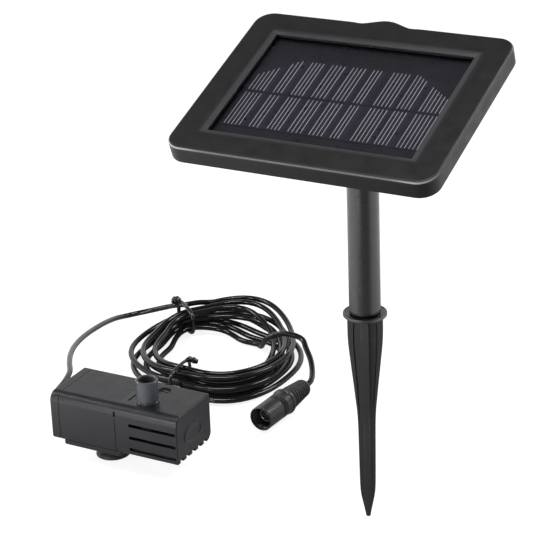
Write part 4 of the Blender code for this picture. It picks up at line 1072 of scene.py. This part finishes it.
# rotor
put_turned("rotor_magnet", "rotor_magnet_ring",
           [(3.4, -179.5), (6.7, -179.5), (6.7, -201.5), (3.4, -201.5)],
           PUMP_AXLE, FERRITE, ring=True, fillet=0.5)
for node, x in (("rotor_bush_front", -179.0), ("rotor_bush_rear", -196.0)):
    put_turned(node, node+"_ring",
               [(AXLE_HOLE_R, x), (3.1, x), (3.1, x-6.0), (AXLE_HOLE_R, x-6.0)],
               PUMP_AXLE, BUSH_PLASTIC, segs=48, ring=True, fillet=0.2)
impeller = turned([(0, -158.0), (2.9, -158.0), (3.1, -158.3), (3.1, -168.2), (9.6, -168.2),
                   (9.8, -168.5), (9.8, -169.7), (3.3, -169.7), (3.3, -178.7), (0, -178.7)],
                  PUMP_AXLE, "impeller_bladed", IMPELLER_PLASTIC, fillet=0.3)
for k in range(3):
    join(impeller, block((9.8, 1.2, 18.0), (0, 0, 0),
                         frame_at((-163.6, PUMP_Y, AXLE_Z), rx=math.pi*k/3)))
cut(impeller, rod(AXLE_HOLE_R, -180.0, -150.0, PUMP_AXLE, segs=32))
round_edges(impeller, 0.18)
put(impeller, "impeller")

# intake cover: slots in both sides and the bottom, open ends for nozzle and regulator
SLOT_X0, SLOT_X1 = -163.0, INTAKE_X-1.3
intake = pump_body("intake_cover_shell", SEAM_X+0.02, INTAKE_X, 0.02, 1.0)
cut(intake, plate(pump_outline(2.0), SEAM_X-1.0, INTAKE_X-2.2, PUMP_SECTION))
cut(intake, plate(nozzle_tongue(TONGUE_HALF_W+0.04, SEAM_X-2), PUMP_Z1-4.0, PUMP_Z1+1.0, WORLD))
for slot_z in (36.1, 27.2, 18.9):
    for side in (-1, 1):
        slot = rounded(0.5*(SLOT_X1-SLOT_X0), 1.15, (0.25, 0.25, 1.1, 1.1), 6,
                       0.5*(SLOT_X1+SLOT_X0), slot_z)
        cut(intake, plate(slot, -2.9, 2.9,
                          frame_at((0, PUMP_Y+side*(PUMP_W/2), 0), rx=QUARTER)))
for k in range(5):
    cut(intake, block((38.0, 4.4, 5.8), (SLOT_X0+19.0, -12.4+k*7.4, PUMP_Z0), WORLD))
cut(intake, rod(3.5, PUMP_Z1-4.0, PUMP_Z1+1, REGULATOR),
    turned([(0, PUMP_Z1+1), (5.3, PUMP_Z1+1), (4.7, PUMP_Z1-0.05), (4.4, PUMP_Z1-0.9),
            (0, PUMP_Z1-0.9)], REGULATOR, segs=72))
cut_seam(intake)
round_edges(intake, 0.22)
put(intake, "intake_cover", angle=38)

# thin dark sheet on the cover's floor, over the bottom slots: painted shade, standing in for the shade inside the
# cover as seen through the slots
SHADE_SHEET_Y = PUMP_Y-1.6
shade_sheet = plate(rounded(0.5*(INTAKE_X-2.5-SEAM_X-3.0), 0.5*(PUMP_W-8.2), 1.0, 6,
                         0.5*(INTAKE_X-2.5+SEAM_X+3.0), SHADE_SHEET_Y),
                 PUMP_Z0+2.04, PUMP_Z0+3.50, WORLD, "intake_shade_sheet", RUBBER)
round_edges(shade_sheet, 0.12)
put(shade_sheet, "intake_cover", angle=50)

# plain oval badge on the +X end: half width, half height, rise of each loop
BADGE = [(11.0, 6.9, 0.0), (11.0, 6.9, 0.22), (10.8, 6.7, 0.34), (10.2, 6.1, 0.36),
         (9.9, 5.8, 0.30), (9.75, 5.65, 0.04), (8.75, 4.65, 0.04), (8.6, 4.5, 0.20),
         (8.3, 4.2, 0.28), (7.5, 3.6, 0.28), (7.2, 3.3, 0.12), (4.0, 1.8, 0.12)]
put(loft([[(a*math.cos(2*math.pi*i/96), b*math.sin(2*math.pi*i/96), z) for i in range(96)]
          for a, b, z in BADGE],
         frame_at((INTAKE_X+0.02, PUMP_Y-1.6, 30.2), rx=QUARTER, rz=QUARTER),
         "end_badge_oval", PUMP_PLASTIC), "end_badge", angle=50)

# base plate, suction cup
base_plate = plate(rounded(22.3, 20.7, 2.0, 8, -192.9, PUMP_Y), 11.2, PUMP_Z0-0.3, WORLD,
                   "base_plate_clip", PUMP_PLASTIC)
cut(base_plate, rod(2.9, 10.0, 17.0, CUP), rod(4.3, 13.3, 17.0, CUP))
round_edges(base_plate, 0.4, segs=3)
put(base_plate, "base_plate")
put_turned("suction_cup", "suction_cup_soft",
           [(0, 14.2), (3.6, 14.2), (3.9, 13.9), (3.9, 13.5), (2.6, 13.5), (2.6, 10.9),
            (4.0, 10.6), (4.4, 9.2), (5.6, 7.0), (8.0, 4.4), (10.6, 2.1), (11.5, 0.8),
            (11.5, 0.0), (10.0, 0.0), (7.6, 2.6), (4.6, 5.2), (2.0, 6.4), (0, 6.6)],
           CUP, RUBBER, fillet=0.5)

# regulator button, a little below the cover's top: radius, height from the pump's top
BUTTON = [(0, -1.0), (2.7, -1.0), (3.1, -1.3), (3.1, -2.3), (4.2, -2.3), (4.2, -3.5), (0, -3.5)]
button = turned([(r, PUMP_Z1+z) for r, z in BUTTON], REGULATOR, "flow_regulator_button",
                STAKE_PLASTIC, segs=72, fillet=0.2)
cut(button, block((4.8, 1.0, 1.6), (REG_X, REG_Y, PUMP_Z1-1.0), WORLD))
put(button, "flow_regulator")

# ==========================================================================================
# cable: from the pump, round a flat coil in three layers, to the connector
# ==========================================================================================
CABLE_R = 2.0
COIL_X, COIL_Y = -201.7, 158.0
TIE_1_DEG, TIE_2_DEG = 141.0, -86.0     # bearings of the two twist ties
TURNS, FIRST_TURN = 8.225, 0.06         # turns at the coil's end and start
STEPS_PER_TURN, CURVE_STEPS = 84, 10
LAYER_PITCH = 4.75
# turn, place across the bundle in units of the spread
OFFSETS = [(0.0, 5.2), (2.05, -5.8), (2.4, -7.2), (4.95, 6.6), (5.25, 8.6), (8.225, -8.9)]
# mean radius and spread of the bundle, every 30 degrees from -180
BUNDLE_RADIUS = [48.5, 49.5, 50.5, 53.5, 58.5, 58.5, 54.5, 52.0, 51.0, 54.0, 58.5, 55.5]
BUNDLE_SPREAD = [1.45, 1.60, 1.50, 1.35, 1.35, 1.25, 1.15, 1.15, 1.30, 1.55, 1.35, 1.05]
# hills round the coil: size, bearing in degrees, width in radians
TIE_PINCH = [(0.92, TIE_1_DEG, 0.30), (0.85, TIE_2_DEG, 0.28)]
TIE_LIFT = [(3.0, TIE_1_DEG, 0.42), (2.9, TIE_2_DEG, 0.42)]
LAYER_PUFF = [(0.50, 93, 0.6), (0.25, -40, 0.7), (0.10, 185, 0.5)]
# radial straying of the bottom, middle and top layers: a wave (size, count, phase) and hills
LAYER_STRAY = [
    ((2.0, 2, -0.9), [(-8.5, 80, 0.45), (8.0, -50, 0.55), (3.0, 10, 0.5)]),
    ((-1.6, 3, 1.1), [(3.0, 66, 0.42), (1.5, 180, 0.6), (5.0, 97, 0.45), (3.5, -45, 0.6)]),
    ((1.6, 2, 0.7), [(5.5, 66, 0.42), (-2.0, 200, 0.5), (15.0, 97, 0.42), (3.0, -50, 0.5)])]


def wrap(angle):
    return (angle + math.pi) % (2*math.pi) - math.pi


def hills(angle, table):
    return sum(size*math.exp(-(wrap(angle-math.radians(degrees))/width)**2)
               for size, degrees, width in table)


def smooth(x):
    x = min(1.0, max(0.0, x))
    return x*x*(3-2*x)


def layer_at(turn):
    "2 on the top layer, 1 on the middle, 0 on the bottom"
    return 2.0 - smooth((turn-2.05)/0.3) - smooth((turn-4.95)/0.28)


def periodic(table, angle):
    x = (math.degrees(wrap(angle)) + 180.0)/30.0
    i = int(math.floor(x))
    return spline(*(table[(i+k) % len(table)] for k in (-1, 0, 1, 2)), x-i)


def shift(angle, layer):
    "radial straying of a layer, held in at the ties"
    bottom, middle, top = (size*math.sin(count*angle+phase) + hills(angle, table)
                           for (size, count, phase), table in LAYER_STRAY)
    if layer >= 1:
        stray = middle + (top-middle)*(layer-1)
    else:
        stray = bottom + (middle-bottom)*layer
    return (1.0 - hills(angle, TIE_PINCH))*stray


def level(angle, layer):
    puff = 1.0 + hills(angle, LAYER_PUFF)
    return CABLE_R + 0.15 + hills(angle, TIE_LIFT) + LAYER_PITCH*layer*puff


def coil_place(angle, r, z):
    return (COIL_X+r*math.cos(angle), COIL_Y+r*math.sin(angle), z)


def coil_point(turn):
    angle = math.radians(TIE_1_DEG) - 2*math.pi*turn
    layer = layer_at(turn)
    r = (periodic(BUNDLE_RADIUS, angle)
         + periodic(BUNDLE_SPREAD, angle)*interpolate(OFFSETS, turn) + shift(angle, layer))
    return coil_place(angle, r, level(angle, layer))


def connector_point(distance):
    return (CONN_MOUTH[0]+distance*math.cos(CONN_ANGLE),
            CONN_MOUTH[1]+distance*math.sin(CONN_ANGLE), CONN_MOUTH[2])


# x, y, z from inside the pump to the coil
LEAD_IN = [
    (-213.0, PUMP_Y, AXLE_Z), (-219.0, PUMP_Y, AXLE_Z), (-226.0, PUMP_Y, AXLE_Z),
    (-232.3, PUMP_Y+0.3, AXLE_Z-0.1), (-237.6, 8.3, 31.4), (-240.4, 16.0, 31.2),
    (-243.4, 28.0, 31.0), (-249.4, 43.3, 30.4), (-258.9, 57.2, 29.3), (-268.3, 72.2, 27.4),
    (-277.4, 90.7, 24.5), (-284.8, 111.3, 21.0), (-290.2, 131.0, 17.3), (-295.4, 156.0, 12.3),
    (-298.9, 177.5, 7.0), (-297.0, 193.0, 3.6), (-284.0, 201.0, 6.3), (-268.5, 203.0, 11.6),
    (-259.3, 201.0, 15.4), (-251.3, 202.6, 16.9), (-244.3, 210.6, 16.6)]
# the tail climbs over the coil: bearing in degrees, radius, z
TAIL_OVER = [(45, 36.0, 4.5), (35, 36.6, 9.5), (27, 40.0, 16.0), (22.5, 47.5, 20.8),
             (19, 57.0, 22.4), (15, 66.5, 21.0)]
# then down to the connector: x, y, z
TAIL_DOWN = [(-131.0, 169.0, 17.6), (-122.8, 160.0, 14.0), (-115.6, 148.5, 10.9),
             (-111.2, 137.5, 9.7)]


def cable_path():
    # the last span of the lead and the first of the tail only steer the curve into the coil
    steering = [coil_point(FIRST_TURN), coil_point(FIRST_TURN+0.05)]
    points = curve(LEAD_IN+steering, CURVE_STEPS)[:-CURVE_STEPS]
    wound = TURNS-FIRST_TURN
    count = int(STEPS_PER_TURN*wound)
    points += [coil_point(FIRST_TURN + wound*i/count) for i in range(1, count+1)]
    tail = [coil_point(TURNS-0.05), coil_point(TURNS)]
    tail += [coil_place(math.radians(degrees), r, z) for degrees, r, z in TAIL_OVER]
    tail += TAIL_DOWN
    tail += [connector_point(CONN_LENGTH+reach) for reach in (0.5, -10, -31)]
    return points + curve(tail, CURVE_STEPS)[CURVE_STEPS+1:]


put(sweep(cable_path(), CABLE_R, "pump_cable_gloss", CABLE_PVC, sides=20), "pump_cable",
    weighted=False)


def twist_tie(node, bearing, radius, slack, knot_degrees, nub_way, nub_length):
    """wire once round the bundle, its ends twisted into a nub; slack is inner, outer and top
    room, nub_way is (outward, along the bundle, up)"""
    angle = math.radians(bearing)
    middle, spread = periodic(BUNDLE_RADIUS, angle), periodic(BUNDLE_SPREAD, angle)
    reach = CABLE_R + radius + 0.25
    shifts = [shift(angle, layer) for layer in (0, 1, 2)]
    r0 = middle - 8.9*spread + min(shifts) - reach - slack[0]
    r1 = middle + 8.6*spread + max(shifts) + reach + slack[1]
    z0 = radius + 0.05
    z1 = level(angle, 2) + reach + slack[2]
    centre_r, centre_z, half_r, half_z = 0.5*(r0+r1), 0.5*(z0+z1), 0.5*(r1-r0), 0.5*(z1-z0)

    def squared(x):
        "makes the loop boxier than an ellipse"
        return math.copysign(abs(x)**0.62, x)

    # points are (outward, along the bundle, up)
    count = 36
    loop = []
    for i in range(count+1):
        b = math.radians(knot_degrees) + 2*math.pi*(i+0.4)/(count+0.8)
        aside = {0: 0.8, count: -0.8}.get(i, 0.0)
        loop.append((centre_r + half_r*squared(math.cos(b)), aside,
                     centre_z + half_z*squared(math.sin(b))))
    first, last = loop[0], loop[-1]
    knot = Vector((0.5*(first[0]+last[0]), 0.0, max(first[2], last[2])+radius*0.9))
    way = Vector(nub_way).normalized()
    across = way.cross(Vector((0, 0, 1))).normalized()
    over = way.cross(across).normalized()
    ends = []
    for phase in (0.0, math.pi):
        strand = []
        for j in range(13):
            t = j/12
            twist = phase + t*2*math.pi*1.1
            strand.append(tuple(knot + way*(0.8+nub_length*t)
                                + (across*math.cos(twist) + over*math.sin(twist))*(radius*0.98)
                                - Vector((0, 0, 1.2*t*t))))
        ends.append(strand)
    ca, sa = math.cos(angle), math.sin(angle)
    points = [(COIL_X+r*ca-q*sa, COIL_Y+r*sa+q*ca, z)
              for r, q, z in curve(ends[0][::-1] + loop + ends[1], 5)]
    spans = len(points)-1

    def tapered(t):
        return radius*(1.0 - 0.75*max(0.0, 1-min(t, 1-t)*spans/3.0)**2)

    put(sweep(points, tapered, node+"_wire", TIE_SHEATH), node, weighted=False)


twist_tie("twist_tie_1", TIE_1_DEG, radius=1.5, slack=(1.2, 3.2, 0.9), knot_degrees=52,
          nub_way=(0.45, 0.88, 0.10), nub_length=5.0)
twist_tie("twist_tie_2", TIE_2_DEG, radius=1.2, slack=(0.0, 0.0, 0.3), knot_degrees=132,
          nub_way=(-0.30, 0.92, -0.10), nub_length=6.5)

# ==========================================================================================
# connector; profiles are radius, local z
# ==========================================================================================
nut = [(7.45, -0.25), (7.75, 0.0), (8.15, 0.0), (8.6, -0.5), (8.6, -17.4), (8.1, -17.9),
       (8.1, -18.6), (5.9, -18.6), (5.9, -16.2), (7.3, -14.8)]
for k in range(9):                      # grooves inside
    z = -13.6+1.35*k
    nut += [(7.32, z), (6.98, z+0.35), (6.98, z+0.55), (7.32, z+0.9)]
put_turned("coupling_nut", "coupling_nut_threaded", nut, CONNECTOR, SHELL_PLASTIC, angle=40,
           segs=128, ring=True, fillet=0.18, steps=3)

body = [(4.75, -7.6), (5.6, -7.6), (5.6, -18.95), (8.2, -18.95), (8.62, -19.2)]
for k in range(3):                      # grooves outside
    z = -k*1.15
    body += [(8.62, z-19.55), (8.10, z-19.85), (8.10, z-20.15), (8.62, z-20.45)]
body += [(8.62, -28.6), (9.0, -28.9), (9.35, -29.4), (9.40, -30.4), (9.2, -31.1), (8.6, -31.6),
         (2.4, -31.6), (2.4, -24.0), (1.35, -24.0), (1.35, -16.4), (4.75, -16.4)]
put_turned("connector_body", "connector_body_ribbed", body, CONNECTOR, SHELL_PLASTIC, angle=40,
           segs=128, ring=True, fillet=0.16, steps=3)

boot = [(2.3, -31.95), (7.9, -31.95), (8.0, -33.2)]
for k in range(8):                      # ribs, narrowing towards the cable
    r, z = 8.05-0.24*k, -33.4-2.62*k
    boot += [(r-0.75, z-0.45), (r-0.75, z-1.25), (r, z-1.7), (r-0.12, z-2.5)]
boot += [(5.7, -55.6), (5.0, -56.7), (4.2, -CONN_LENGTH), (2.3, -CONN_LENGTH)]
put_turned("connector_boot", "connector_boot_ribbed", boot, CONNECTOR, RUBBER, angle=40,
           segs=112, ring=True, fillet=0.2, steps=3)

put_turned("contact_sleeve", "contact_sleeve_bright",
           [(4.0, -6.8), (4.45, -6.8), (4.45, -16.1), (4.0, -16.1)],
           CONNECTOR, STEEL, ring=True, fillet=0.15)
put_turned("contact_pin", "contact_pin_bright",
           [(0, -8.0), (0.5, -8.1), (0.9, -8.5), (1.05, -9.2), (1.05, -22.0), (0, -22.0)],
           CONNECTOR, STEEL, segs=48, fillet=0.15)
seal = CONN_MOUTH + Vector((math.cos(CONN_ANGLE), math.sin(CONN_ANGLE), 0))*13.0
seal_side = Vector((-math.sin(CONN_ANGLE), math.cos(CONN_ANGLE), 0))
put(sweep([seal + seal_side*6.45*math.cos(a) + Vector((0, 0, 6.45*math.sin(a)))
           for a in ring_angles], 0.52, "connector_o_ring_seal", RUBBER, sides=12, closed=True),
    "connector_o_ring")

# ==========================================================================================
# floor, light, camera; metres and radians
# ==========================================================================================
CAMERA_PLACE = Vector((0.48311306, -0.97822347, 0.62372140))
CAMERA_DOWN, CAMERA_ROLL, CAMERA_TURN = 0.3944, -0.0377, 0.5116
centre = (cad_low + cad_high)/2
right = Vector((math.cos(CAMERA_TURN), math.sin(CAMERA_TURN), 0))      # as the camera sees it
away = Vector((-math.sin(CAMERA_TURN), math.cos(CAMERA_TURN), 0))


def surround(net, direction, left_side, right_side, far_side, camera_side):
    "brightness by level direction; camera_side is the share left towards the camera"
    level_way = net.vector_math('MULTIPLY', direction, (1, 1, 0))
    way = net.vector_math('NORMALIZE', level_way)
    nearness = net.vector_math('DOT_PRODUCT', way, -away)
    rightness = net.vector_math('DOT_PRODUCT', way, right)
    front = net.remap(nearness, span=(0.58, 0.93), to=(0.0, 1.0), smooth=True)
    far = net.remap(nearness, span=(-1.0, 0.2), to=(1.0, 0.0))
    sides = net.remap(rightness, span=(-0.5, 0.5), to=(left_side, right_side))
    total = net.math('ADD', net.multiply(far, far_side),
                     net.multiply(net.math('SUBTRACT', 1.0, far), sides))
    darkening = net.multiply(front, 1.0-camera_side)
    return net.multiply(total, net.math('SUBTRACT', 1.0, darkening))


def floor_material():
    "glowing pale floor: even to the camera, shaped for light, dim near the object"
    net = new_net("pale_floor")
    position = net.new("ShaderNodeNewGeometry").outputs["Position"]
    offset = net.vector_math('SUBTRACT', position, Vector((centre.x*0.6, centre.y*0.6, 0)))
    glow = surround(net, offset, left_side=1.9, right_side=1.55, far_side=0.85,
                    camera_side=0.16)
    distance = net.vector_math('DISTANCE', position, (-0.07, 0.11, 0.0))
    glow = net.multiply(glow, net.remap(distance, span=(0.18, 0.42), to=(0.14, 1.0),
                                        smooth=True))
    seen = net.new("ShaderNodeLightPath").outputs["Is Camera Ray"]
    strength = net.new("ShaderNodeMix", {0: seen, 2: glow, 3: 0.84}, data_type='FLOAT')
    grey = net.remap(net.noise(scale=40.0), span=(0.3, 0.7), to=(0.40, 0.42))
    colour = net.new("ShaderNodeCombineColor", {k: grey for k in range(3)})
    net.output({"Base Color": colour.outputs[0], "Roughness": 0.9, "Specular IOR Level": 0.0,
                "Emission Color": (1, 1, 1), "Emission Strength": strength.outputs[0]})
    return net.owner


bm = bmesh.new()
bmesh.ops.create_grid(bm, x_segments=2, y_segments=2, size=6.0)
make("floor", bm, Matrix.Translation((0, 2.0, -0.0006)), floor_material())


def build_world():
    "a bright band at the horizon, taller on the far side, over a dim sky"
    scene.world = bpy.data.worlds.new("studio")
    net = Net(scene.world, main="Background")
    direction = net.coords.outputs["Generated"]
    band = surround(net, direction, left_side=1.35, right_side=1.0, far_side=0.95,
                    camera_side=0.15)
    height = net.new("ShaderNodeSeparateXYZ", {0: direction}).outputs["Z"]
    raised = net.remap(net.vector_math('DOT_PRODUCT', direction, away),
                       span=(0.2, 0.8), to=(0.0, 0.27))
    fade = net.remap(net.math('SUBTRACT', height, raised), span=(0.10, 0.34), to=(1.0, 0.0),
                     smooth=True)
    net.output({"Strength": net.math('ADD', net.multiply(fade, band), 0.15),
                "Color": (0.98, 0.985, 1.0)})


build_world()


def area_light(name, place, size, power, colour=(1, 1, 1)):
    "rectangle aimed at the centre; place is (right, away, up) from the centre"
    light = bpy.data.lights.new(name, 'AREA')
    light.energy = power
    light.color = colour
    light.shape = 'RECTANGLE'
    light.size, light.size_y = size
    ob = bpy.data.objects.new(name, light)
    scene.collection.objects.link(ob)
    spot = centre + right*place[0] + away*place[1] + Vector((0, 0, place[2]))
    ob.location = spot
    ob.rotation_mode = 'QUATERNION'
    ob.rotation_quaternion = (centre-spot).to_track_quat('-Z', 'Y')
    return ob


COOL = (0.95, 0.97, 1.0)
area_light("strip_left", place=(-1.05, 0.25, 0.62), size=(0.16, 0.80), power=6.0, colour=COOL)
area_light("strip_right", place=(0.95, 0.30, 0.85), size=(0.20, 0.70), power=8.0, colour=COOL)
area_light("front_left_low", place=(-0.85, -0.65, 0.40), size=(0.20, 0.35), power=3.0)
area_light("nozzle_side", place=(-0.55, -0.95, -0.10), size=(0.25, 0.30), power=5.0)
overhead = area_light("overhead_strip", place=(-0.05, -0.30, 1.15), size=(0.75, 0.24),
                      power=11.0)
overhead.visible_diffuse = False


def build_camera():
    camera = bpy.data.objects.new("camera", bpy.data.cameras.new("camera"))
    scene.collection.objects.link(camera)
    # axes looking along +Y, tipped down, then rolled, then turned about Z
    forward = Vector((0, math.cos(CAMERA_DOWN), -math.sin(CAMERA_DOWN)))
    across = Vector((1, 0, 0))
    up = Vector((0, math.sin(CAMERA_DOWN), math.cos(CAMERA_DOWN)))
    roll_cos, roll_sin = math.cos(CAMERA_ROLL), math.sin(CAMERA_ROLL)
    axes = (across*roll_cos + up*roll_sin, up*roll_cos - across*roll_sin, -forward)
    turn = Matrix.Rotation(CAMERA_TURN, 3, 'Z')
    rotation = Matrix([turn @ axis for axis in axes]).transposed()
    camera.matrix_world = Matrix.Translation(CAMERA_PLACE) @ rotation.to_4x4()
    camera.data.sensor_width = 36.0
    camera.data.lens = 135.0844278
    camera.data.clip_start = 0.05
    camera.data.clip_end = 30.0
    scene.camera = camera


build_camera()
scene.view_settings.view_transform = 'Standard'
